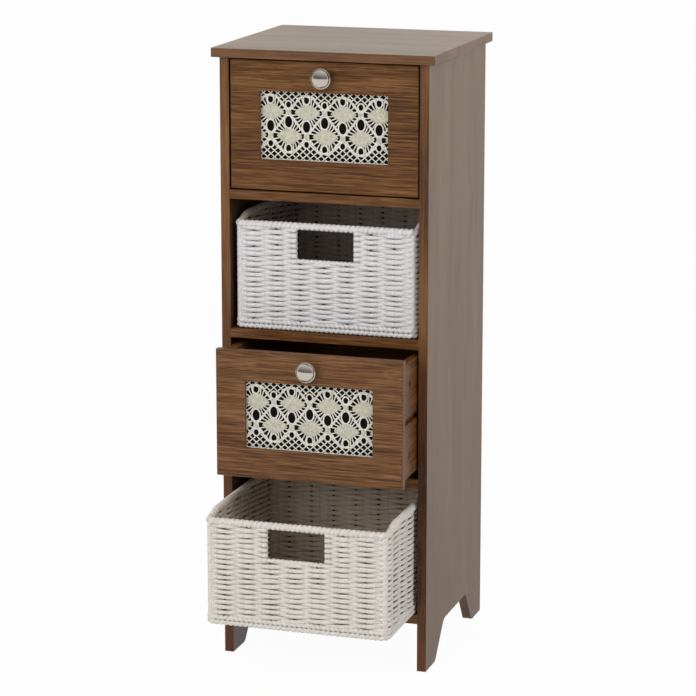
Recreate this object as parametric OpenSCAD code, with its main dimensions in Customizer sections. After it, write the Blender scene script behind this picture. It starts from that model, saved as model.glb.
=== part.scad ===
// Narrow bathroom storage tower: a walnut laminate carcass with two lace-fronted drawers and two
// woven paper-rope baskets. Millimetres, +Z up, front towards -Y, X = 0 on the centre plane, and
// Y = 0 in the middle of the overall depth with the lower drawer and the lower basket pulled out.

/* [Carcass] */
// Thickness of the laminated boards
board_t = 13; // [12:0.5:18]
// Clear height of each of the four compartments
bay_h = 184; // [174:1:240]
// Height of the bottom board's underside above the floor
leg_h = 69; // [55:1:120]
// Overhang of the top board at each side
top_side_overhang = 10; // [0:0.5:30]
// Overhang of the top board at the front
top_front_overhang = 7; // [0:0.5:30]
// Thickness of the hardboard back panel
back_t = 3; // [2.5:0.5:5]
// Distance from the rear edges to the back panel's rear face
back_inset = 6; // [4:0.5:15]
// Depth of the grooves that hold the back panel
back_groove_depth = 5; // [3:0.5:7]

/* [Feet] */
// Height of the cut-out between the front and rear feet
foot_cut_h = 50; // [44:1:54]
// Length of the flat sole of each foot
foot_sole = 43; // [25:1:60]
// Radius of the rounded toe of each foot
toe_r = 12; // [6:0.5:14]
// Distance from the sole's end to the top of the front foot's curve
front_curve_run = 59; // [45:1:70]
// Radius of the hollow curve above the front foot
front_curve_r = 20; // [8:0.5:26]
// Distance from the sole's end to the top of the rear foot's curve
rear_curve_run = 44; // [36:1:60]
// Radius of the hollow curve above the rear foot
rear_curve_r = 8; // [5:0.5:18]

/* [Drawers] */
// Gap all round an inset drawer front
front_gap = 2; // [1.5:0.25:4]
// Radius of the eased edges of a drawer front's face
front_edge_r = 2.5; // [1:0.25:4]
// Thickness of the drawer box sides and back
box_t = 12; // [10:0.5:15]
// Length of the drawer sides behind the front
box_len = 252; // [150:1:400]
// Room behind a closed drawer, in front of the back panel
drawer_back_gap = 19; // [8:1:60]
// Gap between a drawer side and the carcass side
side_gap = 2.5; // [2:0.25:6]
// Distance from the front's top edge down to the drawer side's top edge
side_drop = 8; // [4:0.5:20]
// Distance from the front's bottom edge up to the drawer side's bottom edge
side_lift = 11; // [6:0.5:20]
// Thickness of the drawer bottom
bottom_t = 3; // [2.5:0.5:5]
// Height of the drawer bottom's underside above the side's bottom edge
bottom_lift = 8; // [6:0.5:15]
// Depth of the grooves that hold the drawer bottom
bottom_groove_depth = 4; // [3:0.5:6]
// Height of the runner groove in a drawer side
runner_groove_h = 9; // [7:0.5:14]
// Depth of the runner groove in a drawer side
runner_groove_depth = 5; // [3:0.5:7]
// Length of the runners
runner_len = 235; // [120:1:240]

/* [Window and lace] */
// Width of the window in a drawer front
window_w = 184; // [150:1:190]
// Height of the window in a drawer front
window_h = 95; // [80:1:100]
// Depth from the front's face back to the lace
lace_depth = 5.5; // [4:0.25:7]
// Thickness of the lace
lace_t = 0.8; // [0.6:0.1:1.5]
// Margin of lace and backing hidden behind the window's edge
lace_margin = 7; // [5:0.5:9]
// Thickness of the dark backing board
backing_t = 3; // [2:0.25:4]
// Distance between neighbouring cloth leaves in a row
leaf_pitch = 52; // [44:0.5:56]
// Distance between the two rows of cloth leaves
row_pitch = 32.9; // [28:0.1:36]
// Height of the two rows' middle line above the window's middle
row_rise = 2.2; // [0:0.1:4]
// Width of a cloth leaf
leaf_w = 30; // [26:0.5:33]
// Height of a cloth leaf
leaf_h = 23; // [20:0.5:25]
// Number of threads' gaps down each side of a leaf
gaps_per_side = 8; // [6:1:10]
// Width of the plaited strips between the leaves
trellis_w = 2.8; // [2:0.1:4]
// Width of a single thread
thread_w = 1.1; // [0.8:0.05:1.4]
// Number of mesh columns in one leaf pitch
mesh_columns = 5; // [4:1:5]
// Spacing of the mesh rows
mesh_row_pitch = 4.5; // [4:0.1:5]

/* [Knob] */
// Diameter of the knob's dome
knob_d = 29; // [22:0.5:36]
// Projection of the knob from the front
knob_l = 21; // [16:0.5:28]
// Diameter of the knob's neck
knob_neck_d = 11; // [9:0.5:14]
// Diameter of the knob's foot
knob_foot_d = 15; // [13:0.5:18]
// Distance from the front's top edge down to the knob's centre
knob_drop = 21.5; // [17:0.5:25]

/* [Baskets] */
// Width over the woven walls
basket_w = 264; // [200:1:400]
// Depth over the woven walls
basket_d = 268; // [200:1:420]
// Gap between a basket's walls and the carcass side
basket_side_gap = 5; // [3:0.5:20]
// Room behind a basket that is pushed in, in front of the back panel
basket_back_gap = 11; // [3:0.5:40]
// Height of the front of the basket with its rim
basket_h = 154; // [120:1:166]
// Rise of the side and back rims above the front rim
basket_rise = 6.5; // [2:0.5:20]
// Length over which the side rims climb
basket_ramp = 30; // [25:1:80]
// Thickness of the woven walls and base
weave_t = 7; // [6:0.5:10]
// Outer radius of the basket's corners
basket_corner_r = 12; // [9:0.5:20]
// Height of the twisted rope rim
rim_h = 9; // [8:0.5:14]
// Overhang of the rim on both faces of a wall
rim_overhang = 1.5; // [1:0.25:3]
// Width of the hand hole
hand_w = 82; // [70:1:110]
// Height of the hand hole
hand_h = 40; // [30:1:50]
// Radius of the hand hole's corners
hand_r = 5; // [3:0.5:12]
// Diameter of the wire frame inside the weave
wire_d = 3.4; // [2.5:0.1:4]
// Distance from the carcass front back to a basket that is pushed in
basket_inset = 5; // [3:0.5:15]

/* [Pose] */
// How far the upper drawer is drawn out
upper_drawer_out = 0; // [0:1:150]
// How far the upper basket is drawn out
upper_basket_out = 0; // [0:1:150]
// How far the lower drawer is drawn out
lower_drawer_out = 68; // [0:1:150]
// How far the lower basket is drawn out
lower_basket_out = 130; // [0:1:150]

/* [Hardware] */
// Diameter of the wooden dowels
dowel_d = 8; // [6:0.5:8]
// Depth of a dowel in a panel's face
dowel_face_depth = 9; // [7:0.5:10]
// Depth of a dowel in a board's end
dowel_end_depth = 19; // [14:0.5:24]
// Diameter of the cam locks
cam_d = 15; // [12:0.5:15]
// Height of the cam locks
cam_h = 10; // [9:0.25:11]
// Distance from a board's end to the cam's centre
cam_reach = 24; // [20:0.5:34]
// Diameter of the cam bolt's threaded end
bolt_thread_d = 6; // [5:0.5:7]
// Diameter of the cam bolt's shank
bolt_shank_d = 4; // [3:0.25:4.5]
// Diameter of the cam bolt's head
bolt_head_d = 6; // [5:0.25:7]
// Length of the cam bolt's head
bolt_head_l = 3; // [2:0.25:4]
// Depth of the cam bolt's thread in a panel's face
bolt_face_depth = 9; // [7:0.5:10]
// Distance from a board's front and rear edges to its cam bolts
cam_edge_gap = 46; // [30:1:60]
// Distance from a board's front and rear edges to its dowels
dowel_edge_gap = 88; // [75:1:110]
// Distance from a drawer front's back to the cams in the drawer's sides
side_cam_setback = 22; // [18:1:30]
// Distance from a drawer side's top and bottom edges to its cams
side_cam_edge = 30; // [24:1:40]
// Diameter of the runner screws
runner_screw_d = 3; // [2.5:0.25:3.5]
// Diameter of the runner screws' heads
runner_screw_head_d = 6; // [5:0.25:6.5]
// Diameter of the drawer back's screws
back_screw_d = 3.5; // [3:0.25:4]
// Diameter of the drawer back's screw heads
back_screw_head_d = 7; // [6:0.25:8]
// Length of the drawer back's screws
back_screw_l = 35; // [25:1:45]
// Diameter of the knob's machine screw
knob_screw_d = 4; // [3:0.5:5]
// Diameter of the small screws that hold the backing
pin_screw_d = 2; // [1.6:0.1:2.4]
// Diameter of the small screws' heads
pin_head_d = 4; // [3.2:0.1:4.6]
// Thickness of the small screws' heads
pin_head_t = 1.2; // [0.8:0.1:1.6]
// Distance from the window's upper and lower corners along to the nearest small screw
pin_from_corner = 3; // [2:0.5:12]

/* [Hidden] */
$fn = 48;
// Clearance round parts that seat in a hole or a groove
fit = 0.05;
// Clearance between a runner and the floor, and the top and bottom, of a drawer's groove
slide_fit = 0.4;
runner_fit = 0.2;
// Distance that a cutting shape runs past a face
past = 1;
// Gap at the end of a dowel's hole, and between a closed drawer's front and its runners
stop_gap = 0.5;
// How far a bead of solder stands out round the wire frame's bends
wire_bead = 0.4;
// How far the hollow curve of a foot cuts past its tangent edges, so that they meet cleanly
curve_past = 0.02;
// Width and depth of the cross slot in a cam lock's face
cam_slot_w = 1.5;
cam_slot_d = 1.5;
// Room above a cam lock in its hole
cam_sink = 0.3;
// Wood left between a drawer side's cam hole and its inner face
side_cam_skin = 2.5;
// Wood left beyond the tip of a runner screw
runner_screw_cover = 4;
// How far the small screws' tips reach in front of the lace
pin_bite = 4;
// Thickness of the knob screw's head
knob_screw_head_t = 2.4;
// Height of the knob's foot, and how far its dome's underside runs down the neck and below the rim
knob_foot_h = 2;
knob_neck_blend = 5;
knob_rim_t = 1.2;
// Height of the dome's rim, and depth of the knob's thread, as shares of the projection
knob_rim_share = 0.55;
knob_thread_share = 0.6;
// Basket wall above the hand hole, below the rim
hand_drop = 2;

// Heights of the boards, from the floor up
bottom_z = leg_h;
function shelf_z(bay) = bottom_z + bay * (board_t + bay_h);
function bay_z(bay) = shelf_z(bay) + board_t;
top_z = shelf_z(4);
total_h = top_z + board_t;

// The carcass fits round the baskets' width, and round the deeper of the drawers and baskets
inner_w = basket_w + 2 * basket_side_gap;
inner_x = inner_w / 2;
carcass_w = inner_w + 2 * board_t;
board_d = max(board_t + box_len + drawer_back_gap, basket_inset + basket_d + basket_back_gap);
back_front_y = board_d;
carcass_d = board_d + back_t + back_inset;

// Drawer sizes
front_w = inner_w - 2 * front_gap;
front_h = bay_h - 2 * front_gap;
box_x = inner_x - side_gap;
box_inner_x = box_x - box_t;
box_h = front_h - side_drop - side_lift;
box_back_y = board_t + box_len;
runner_z = box_h / 2;
runner_h = runner_groove_h - 2 * runner_fit;
runner_w = side_gap + runner_groove_depth - slide_fit;
runner_front_y = board_t + stop_gap;
cam_pocket = cam_h + cam_sink;
side_cam_h = box_t - side_cam_skin;
knob_z = front_h - knob_drop;
knob_rim_z = knob_l * knob_rim_share;
knob_thread_l = knob_l * knob_thread_share;
rebate_depth = board_t - lace_depth;
window_z = front_h / 2;

// Basket sizes
rim_w = weave_t + 2 * rim_overhang;
wall_top = basket_h - rim_h;
wire_inset = weave_t / 2;
wire_corner_r = basket_corner_r - wire_inset;
hand_top_z = wall_top - hand_drop;
hand_z = hand_top_z - hand_h / 2;

// The frame's Y origin is the middle of the overall depth in the shown pose
basket_front_y = basket_inset - rim_overhang - max(lower_basket_out, upper_basket_out);
knob_front_y = -knob_l - max(lower_drawer_out, upper_drawer_out);
foremost_y = min(basket_front_y, knob_front_y, -top_front_overhang);
front_y = -(foremost_y + carcass_d) / 2;

laminate = [0.46, 0.31, 0.20];
hardboard = [0.30, 0.20, 0.13];
steel = [0.62, 0.62, 0.63];
nickel = [0.78, 0.77, 0.75];
beech = [0.80, 0.66, 0.46];
rope = [0.88, 0.87, 0.86];
cotton = [0.88, 0.86, 0.79];
felt = [0.10, 0.09, 0.08];

// ---------- placing ----------

// Children are drawn with Y = 0 at the carcass front.
module carcass_place() {
    translate([0, front_y, 0]) children();
}

// Children are drawn with Z = 0 at a drawer front's bottom edge.
module drawer_place(bay, out) {
    translate([0, front_y - out, bay_z(bay) + front_gap]) children();
}

// Children are drawn with Y = 0 at a basket's front wall and Z = 0 under its base.
module basket_place(bay, out) {
    translate([0, front_y + basket_inset - out, bay_z(bay)]) children();
}

// Children are drawn once for each side, mirrored for the left one.
module both_sides() {
    children();
    mirror([1, 0, 0]) children();
}

// A profile drawn in (Y, Z), extruded from x0 to x1.
module along_x(x0, x1) {
    translate([x0, 0, 0]) rotate([90, 0, 90]) linear_extrude(x1 - x0) children();
}

// A profile drawn in (X, Z), extruded from y0 to y1.
module along_y(y0, y1) {
    translate([0, y1, 0]) rotate([90, 0, 0]) linear_extrude(y1 - y0) children();
}

// A cylinder along X from x0 to x1, at the given Y and Z.
module rod_x(x0, x1, y, z, r) {
    translate([x0, y, z]) rotate([0, 90, 0]) cylinder(r = r, h = x1 - x0);
}

// A cylinder along Y from y0 to y1, at the given X and Z.
module rod_y(y0, y1, x, z, r) {
    translate([x, y1, z]) rotate([90, 0, 0]) cylinder(r = r, h = y1 - y0);
}

// A rectangle with rounded corners, centred on X, from y = 0.
module rounded_plan(w, d, r, inset = 0) {
    translate([-w / 2 + inset, inset]) {
        translate([r - inset, 0]) square([w - 2 * r, d - 2 * inset]);
        translate([0, r - inset]) square([w - 2 * inset, d - 2 * r]);
        for (x = [r - inset, w - r - inset], y = [r - inset, d - r - inset])
            translate([x, y]) circle(r = r - inset);
    }
}

// ---------- board joints ----------

// Y of the cam bolts and of the dowels along a board's end.
function cam_ys() = [cam_edge_gap, board_d - cam_edge_gap];
function dowel_ys() = [dowel_edge_gap, board_d - dowel_edge_gap];

// One cam bolt, its thread's end at 0 and its axis along +Z. grow widens it into its hole.
module cam_bolt(grow = 0) {
    shank_end = bolt_face_depth + cam_reach - bolt_head_l;
    cylinder(r = bolt_thread_d / 2 + grow, h = bolt_face_depth);
    translate([0, 0, bolt_face_depth - past])
        cylinder(r = bolt_shank_d / 2 + grow, h = shank_end - bolt_face_depth + past);
    translate([0, 0, shank_end])
        cylinder(r = bolt_head_d / 2 + grow, h = bolt_head_l);
}

// The hole that a cam bolt's thread needs in a panel's face, its mouth at bolt_face_depth.
module bolt_face_hole() {
    cylinder(r = bolt_thread_d / 2 + fit, h = bolt_face_depth + past);
}

// The hole that a cam bolt needs in a board's end: from the end to the cam's pocket.
module bolt_end_hole() {
    translate([0, 0, bolt_face_depth - past])
        cylinder(r = bolt_head_d / 2 + 2 * fit, h = cam_reach + past);
}

// One cam lock, its axis along +Z and its face at 0; the bolt comes in along +X from -X.
module cam_lock() {
    axis_z = -board_t / 2;
    difference() {
        translate([0, 0, -cam_h]) cylinder(r = cam_d / 2, h = cam_h);
        rod_x(-cam_d, 0, 0, axis_z, bolt_shank_d / 2 + fit);
        rod_x(-bolt_head_l, past, 0, axis_z, bolt_head_d / 2 + fit);
        for (turn = [0, 90])
            rotate([0, 0, turn]) translate([-cam_d / 3, -cam_slot_w / 2, -cam_slot_d])
                cube([cam_d * 2 / 3, cam_slot_w, cam_slot_d + past]);
    }
}

module cam_pocket_hole() {
    translate([0, 0, -cam_pocket]) cylinder(r = cam_d / 2 + fit, h = cam_pocket + past);
}

// Everything that a shelf's two ends lose to bolts, cams and dowels.
module shelf_end_holes(z) {
    both_sides() {
        for (y = cam_ys()) {
            translate([inner_x + bolt_face_depth, y, z + board_t / 2])
                rotate([0, -90, 0]) bolt_end_hole();
            translate([inner_x - cam_reach, y, z])
                mirror([0, 0, 1]) cam_pocket_hole();
        }
        for (y = dowel_ys())
            rod_x(inner_x - dowel_end_depth - stop_gap, inner_x + past, y, z + board_t / 2,
                  dowel_d / 2 + fit);
    }
}

// Everything that the right side panel's inner face loses to one shelf.
module shelf_face_holes(z) {
    for (y = cam_ys())
        translate([inner_x + bolt_face_depth, y, z + board_t / 2])
            rotate([0, -90, 0]) bolt_face_hole();
    for (y = dowel_ys())
        rod_x(inner_x - past, inner_x + dowel_face_depth, y, z + board_t / 2,
              dowel_d / 2 + fit);
}

// ---------- carcass ----------

// Side panel outline in (Y, Z): a plain panel above, and a front and a rear foot below it.
module side_outline() {
    translate([0, foot_cut_h]) square([carcass_d, top_z - foot_cut_h]);
    foot(front_curve_run, front_curve_r);
    translate([carcass_d, 0]) mirror([1, 0]) foot(rear_curve_run, rear_curve_r);
}

// One foot: a sole, a rounded toe, and a straight edge that is tangent to the toe and to the
// hollow curve under the panel.
module foot(run, curve_r) {
    toe = [foot_sole, toe_r];
    curve = [foot_sole + run, foot_cut_h - curve_r];
    span = norm(curve - toe);
    tangent = atan2(curve.y - toe.y, curve.x - toe.x) - acos((toe_r + curve_r) / span);
    normal = [cos(tangent), sin(tangent)];
    toe_touch = toe + toe_r * normal;
    curve_touch = curve - curve_r * normal;
    square([foot_sole, foot_cut_h]);
    translate(toe) circle(r = toe_r);
    difference() {
        polygon([
            [0, toe_r], toe, toe_touch, curve_touch,
            [curve.x, curve_touch.y], [curve.x, foot_cut_h + past], [0, foot_cut_h + past],
        ]);
        translate(curve) circle(r = curve_r + curve_past);
        translate([curve_touch.x, curve_touch.y - curve_r * 2])
            square([curve_r * 2, curve_r * 2]);
    }
}

// The right side panel; the left one is its mirror image.
module side_panel() {
    color(laminate) carcass_place() difference() {
        along_x(inner_x, inner_x + board_t) side_outline();
        // Groove for the back panel, open at its foot
        translate([inner_x - past, back_front_y - fit, bottom_z])
            cube([back_groove_depth + past, back_t + 2 * fit, top_z - bottom_z + past]);
        for (bay = [0:3]) shelf_face_holes(shelf_z(bay));
        top_joint_panel_holes();
        for (bay = [1, 3]) runner_screw_holes(bay);
    }
}

// Cam pockets in the panel's inner face and bolt and dowel holes in its top edge.
module top_joint_panel_holes() {
    mid_x = inner_x + board_t / 2;
    for (y = cam_ys()) {
        translate([mid_x, y, top_z + bolt_face_depth])
            mirror([0, 0, 1]) bolt_end_hole();
        translate([inner_x, y, top_z - cam_reach])
            rotate([0, -90, 0]) cam_pocket_hole();
    }
    for (y = dowel_ys())
        translate([mid_x, y, top_z - dowel_end_depth - stop_gap])
            cylinder(r = dowel_d / 2 + fit, h = dowel_end_depth + stop_gap + past);
}

module left_side_panel() {
    mirror([1, 0, 0]) side_panel();
}

module right_side_panel() {
    side_panel();
}

module top_board() {
    width = carcass_w + 2 * top_side_overhang;
    mid_x = inner_x + board_t / 2;
    color(laminate) carcass_place() difference() {
        translate([-width / 2, -top_front_overhang, top_z])
            cube([width, carcass_d + top_front_overhang, board_t]);
        both_sides() {
            for (y = cam_ys())
                translate([mid_x, y, top_z + bolt_face_depth])
                    mirror([0, 0, 1]) bolt_face_hole();
            for (y = dowel_ys())
                translate([mid_x, y, top_z - past])
                    cylinder(r = dowel_d / 2 + fit, h = dowel_face_depth + past);
        }
    }
}

module shelf(bay) {
    z = shelf_z(bay);
    color(laminate) carcass_place() difference() {
        translate([-inner_x, 0, z]) cube([inner_w, board_d, board_t]);
        shelf_end_holes(z);
    }
}

module back_panel() {
    width = inner_w + 2 * (back_groove_depth - fit);
    color(hardboard) carcass_place()
        translate([-width / 2, back_front_y, bottom_z]) cube([width, back_t, top_z - bottom_z]);
}

module board_dowels() {
    dowel_l = dowel_face_depth + dowel_end_depth;
    mid_x = inner_x + board_t / 2;
    color(beech) carcass_place() both_sides() for (y = dowel_ys()) {
        for (bay = [0:3])
            rod_x(inner_x - dowel_end_depth, inner_x + dowel_face_depth, y,
                  shelf_z(bay) + board_t / 2, dowel_d / 2);
        translate([mid_x, y, top_z - dowel_end_depth]) cylinder(r = dowel_d / 2, h = dowel_l);
    }
}

module board_cam_bolts() {
    mid_x = inner_x + board_t / 2;
    color(steel) carcass_place() both_sides() for (y = cam_ys()) {
        for (bay = [0:3])
            translate([inner_x + bolt_face_depth, y, shelf_z(bay) + board_t / 2])
                rotate([0, -90, 0]) cam_bolt();
        translate([mid_x, y, top_z + bolt_face_depth]) mirror([0, 0, 1]) cam_bolt();
    }
}

module board_cam_locks() {
    color(steel) carcass_place() both_sides() for (y = cam_ys()) {
        for (bay = [0:3])
            translate([inner_x - cam_reach, y, shelf_z(bay)])
                rotate([0, 180, 0]) cam_lock();
        translate([inner_x, y, top_z - cam_reach])
            rotate([0, -90, 0]) mirror([1, 0, 0]) cam_lock();
    }
}

// ---------- runners ----------

// Y of the screws along a runner.
function runner_screw_ys() =
    [for (share = [0.1, 0.5, 0.9]) runner_front_y + share * runner_len];

function runner_mid_z(bay) = bay_z(bay) + front_gap + side_lift + runner_z;

// Countersunk screw along +X, its head's face at x = 0. grow widens it into its hole.
module countersunk_x(d, head_d, length, grow = 0) {
    head_l = (head_d - d) / 2;
    rotate([0, 90, 0]) {
        cylinder(r1 = head_d / 2 + grow, r2 = d / 2 + grow, h = head_l);
        cylinder(r = d / 2 + grow, h = length + grow);
    }
}

module runner_screws_at(bay, grow = 0) {
    length = runner_w + board_t - runner_screw_cover;
    for (y = runner_screw_ys())
        translate([inner_x - runner_w, y, runner_mid_z(bay)])
            countersunk_x(runner_screw_d, runner_screw_head_d, length, grow);
}

module runner_screw_holes(bay) {
    runner_screws_at(bay, fit);
}

// The right runner of a drawer's compartment; the left one is its mirror image.
module runner(bay) {
    color(laminate) carcass_place() difference() {
        translate([inner_x - runner_w, runner_front_y, runner_mid_z(bay) - runner_h / 2])
            cube([runner_w, runner_len, runner_h]);
        runner_screw_holes(bay);
    }
}

module runner_screws() {
    color(steel) carcass_place() both_sides() for (bay = [1, 3]) runner_screws_at(bay);
}

// ---------- drawers ----------

// The front's outline with its face's edges eased all round.
module front_blank() {
    r = front_edge_r;
    intersection() {
        along_x(-front_w / 2, front_w / 2) eased_section(front_h, r);
        rotate([0, 0, 90]) mirror([0, 1, 0]) linear_extrude(front_h)
            translate([0, -front_w / 2]) eased_section(front_w, r);
    }
}

// A section from (0, 0) to (board_t, length) with its two corners at 0 rounded.
module eased_section(length, r) {
    translate([r, 0]) square([board_t - r, length]);
    translate([0, r]) square([r, length - 2 * r]);
    for (v = [r, length - r]) translate([r, v]) circle(r = r);
}

// X and Z of the small screws round the backing, measured from the window's middle.
function pin_places() = [
    for (x = [-1, 0, 1], z = [-1, 1])
        [x * (window_w / 2 - pin_from_corner), z * (window_h + lace_margin) / 2],
    for (x = [-1, 1]) [x * (window_w + lace_margin) / 2, 0],
];

module backing_pins(grow = 0) {
    head_y = lace_depth + lace_t + backing_t;
    for (p = pin_places()) translate([0, 0, window_z]) {
        rod_y(lace_depth - pin_bite - grow, head_y, p[0], p[1], pin_screw_d / 2 + grow);
        if (grow == 0) rod_y(head_y, head_y + pin_head_t, p[0], p[1], pin_head_d / 2);
    }
}

module window_rectangle(margin = 0) {
    translate([-window_w / 2 - margin, window_z - window_h / 2 - margin])
        square([window_w + 2 * margin, window_h + 2 * margin]);
}

// Z of the cam bolts between the front and the sides, and of the screws in the back.
function side_cam_zs() = [side_lift + side_cam_edge, side_lift + box_h - side_cam_edge];

module drawer_front() {
    color(laminate) difference() {
        front_blank();
        along_y(-past, board_t + past) window_rectangle();
        along_y(lace_depth, board_t + past) window_rectangle(lace_margin + fit);
        backing_pins(fit);
        // Groove for the drawer bottom's front edge
        translate([-box_inner_x - bottom_groove_depth, board_t - bottom_groove_depth,
                   side_lift + bottom_lift - fit])
            cube([2 * (box_inner_x + bottom_groove_depth), bottom_groove_depth + past,
                  bottom_t + 2 * fit]);
        both_sides() for (z = side_cam_zs())
            translate([box_x - box_t / 2, board_t - bolt_face_depth, z])
                rotate([-90, 0, 0]) bolt_face_hole();
        rod_y(-past, board_t + past, 0, knob_z, knob_screw_d / 2 + fit);
    }
}

// The drawer bottom, in the grooves of the front and the sides and under the back.
module drawer_bottom() {
    reach = bottom_groove_depth - fit;
    color(hardboard)
        translate([-box_inner_x - reach, board_t - reach, side_lift + bottom_lift])
            cube([2 * (box_inner_x + reach), box_len + reach, bottom_t]);
}

module drawer_side() {
    color(laminate) difference() {
        translate([box_inner_x, board_t, side_lift]) cube([box_t, box_len, box_h]);
        translate([box_x - runner_groove_depth, board_t - past,
                   side_lift + runner_z - runner_groove_h / 2])
            cube([runner_groove_depth + past, box_len + 2 * past, runner_groove_h]);
        translate([box_inner_x - past, board_t - past, side_lift + bottom_lift - fit])
            cube([bottom_groove_depth + past, box_len + 2 * past, bottom_t + 2 * fit]);
        for (z = side_cam_zs()) {
            translate([box_x - box_t / 2, board_t - bolt_face_depth, z])
                rotate([-90, 0, 0]) translate([0, 0, bolt_face_depth - past])
                    cylinder(r = bolt_head_d / 2 + 2 * fit, h = side_cam_setback + past);
            rod_x(box_x - side_cam_h, box_x + past, board_t + side_cam_setback, z,
                  cam_d / 2 + fit);
        }
        back_screws_at(fit);
    }
}

module drawer_back() {
    z0 = side_lift + bottom_lift + bottom_t;
    color(laminate) difference() {
        translate([-box_inner_x, box_back_y - box_t, z0])
            cube([2 * box_inner_x, box_t, side_lift + box_h - z0]);
        both_sides() back_screws_at(fit);
    }
}

module back_screws_at(grow = 0) {
    for (z = side_cam_zs())
        translate([box_x, box_back_y - box_t / 2, z])
            mirror([1, 0, 0]) countersunk_x(back_screw_d, back_screw_head_d, back_screw_l, grow);
}

module drawer_back_screws() {
    color(steel) both_sides() back_screws_at();
}

// Bolts from the front into the drawer sides, one above the other on each side.
module drawer_cam_bolts() {
    shank_end = bolt_face_depth + side_cam_setback - bolt_head_l;
    color(steel) both_sides() for (z = side_cam_zs())
        translate([box_x - box_t / 2, board_t - bolt_face_depth, z]) rotate([-90, 0, 0]) {
            cylinder(r = bolt_thread_d / 2, h = bolt_face_depth);
            translate([0, 0, bolt_face_depth - past])
                cylinder(r = bolt_shank_d / 2, h = shank_end - bolt_face_depth + past);
            translate([0, 0, shank_end]) cylinder(r = bolt_head_d / 2, h = bolt_head_l);
        }
}

module drawer_cam_locks() {
    cam_y = board_t + side_cam_setback;
    color(steel) both_sides() for (z = side_cam_zs()) difference() {
        rod_x(box_x - side_cam_h, box_x - cam_sink, cam_y, z, cam_d / 2);
        rod_y(cam_y - cam_d, cam_y, box_x - box_t / 2, z, bolt_shank_d / 2 + fit);
        rod_y(cam_y - bolt_head_l, cam_y + past, box_x - box_t / 2, z, bolt_head_d / 2 + fit);
        for (turn = [45, 135]) translate([box_x, cam_y, z]) rotate([turn, 0, 0])
            translate([-cam_sink - cam_slot_d, -cam_d / 3, -cam_slot_w / 2])
                cube([cam_sink + cam_slot_d + past, cam_d * 2 / 3, cam_slot_w]);
    }
}

// ---------- knob ----------

// Half section of the knob in (radius, distance from the front): foot, neck and dome.
module knob_section() {
    dome_r = knob_d / 2;
    dome_rise = knob_l - knob_rim_z;
    cap_r = (dome_r * dome_r + dome_rise * dome_rise) / (2 * dome_rise);
    under_z = knob_rim_z - knob_neck_blend;
    // Foot against the drawer front
    square([knob_foot_d / 2, knob_foot_h]);
    // Neck
    square([knob_neck_d / 2, knob_rim_z]);
    // Underside of the dome, as a shallow cone
    polygon([[0, under_z], [knob_neck_d / 2, under_z], [dome_r, knob_rim_z - knob_rim_t],
             [dome_r, knob_rim_z], [0, knob_rim_z]]);
    // Domed face
    intersection() {
        translate([0, knob_l - cap_r]) circle(r = cap_r, $fn = 96);
        translate([0, knob_rim_z]) square([dome_r, dome_rise]);
    }
}

module knob() {
    color(nickel) translate([0, 0, knob_z]) rotate([90, 0, 0]) difference() {
        rotate_extrude($fn = 96) knob_section();
        translate([0, 0, -past]) cylinder(r = knob_screw_d / 2 + fit, h = knob_thread_l + past);
    }
}

module knob_screw() {
    color(steel) translate([0, 0, knob_z]) {
        rod_y(-knob_thread_l + stop_gap, board_t, 0, 0, knob_screw_d / 2);
        rod_y(board_t, board_t + knob_screw_head_t, 0, 0, knob_screw_d);
    }
}

// ---------- lace ----------

upper_row_z = row_rise + row_pitch / 2;
lower_row_z = row_rise - row_pitch / 2;
// Roundness of a leaf: 1 is a rhombus and 2 an ellipse
leaf_power = 1.5;
// Angle beside a leaf's points that no thread leaves from
leaf_clear = 22;
// Heights of the cell's two ends above the leaf's middle, and the threads' reach along the row
tall_end = row_pitch * 0.9;
short_end = row_pitch * 0.68;
side_end = leaf_pitch * 0.42;
// Width and height of the ovals at the cell's two ends, and their distance from the leaf's edge
big_oval_w = 8.6;
big_oval_h = 15;
big_oval_gap = 7.6;
small_oval_w = 5.4;
small_oval_h = 9.4;
small_oval_gap = 5;
// Width and height of the ovals in the trellis, and their distances from the two rows
join_oval_w = 6.4;
join_oval_h = 8;
upper_join_rise = 9.4;
lower_join_drop = 10.5;
// First row of mesh gaps below the window's edge, a gap's size, and its loss from row to row
mesh_edge = 3.2;
mesh_overlap = 0.9;
mesh_gap = mesh_row_pitch + mesh_overlap;
mesh_loss = 0.3;
mesh_rows = 3;
// Plain hem inside the window's edge
hem = 0.8;

// Radius of a leaf's edge, and of the trellis round its cell, in the direction a.
function leaf_radius(a) =
    pow(pow(abs(cos(a)) / (leaf_w / 2), leaf_power) + pow(abs(sin(a)) / (leaf_h / 2), leaf_power),
        -1 / leaf_power);
function cell_radius(a) =
    let (cell = 1 / (abs(cos(a)) / (leaf_pitch / 2) + abs(sin(a)) / row_pitch))
    cell - trellis_w / 2 / sin(atan2(row_pitch, leaf_pitch / 2));

// The gap between two threads that leave a leaf in the directions a0 and a1. up limits its
// height above the leaf's middle.
module thread_gap(a0, a1, up) {
    side = thread_w / 2;
    function along(a, r, s) = [r * cos(a) - s * sin(a), r * sin(a) + s * cos(a)];
    function reach(a) = min(cell_radius(a), up / abs(sin(a)), side_end);
    polygon([
        along(a0, leaf_radius(a0), side), along(a0, reach(a0), side),
        along(a1, reach(a1), -side), along(a1, leaf_radius(a1), -side),
    ]);
}

module oval(x, z, w, h) {
    translate([x, z]) scale([w / h, 1]) circle(d = h, $fn = 8);
}

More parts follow.
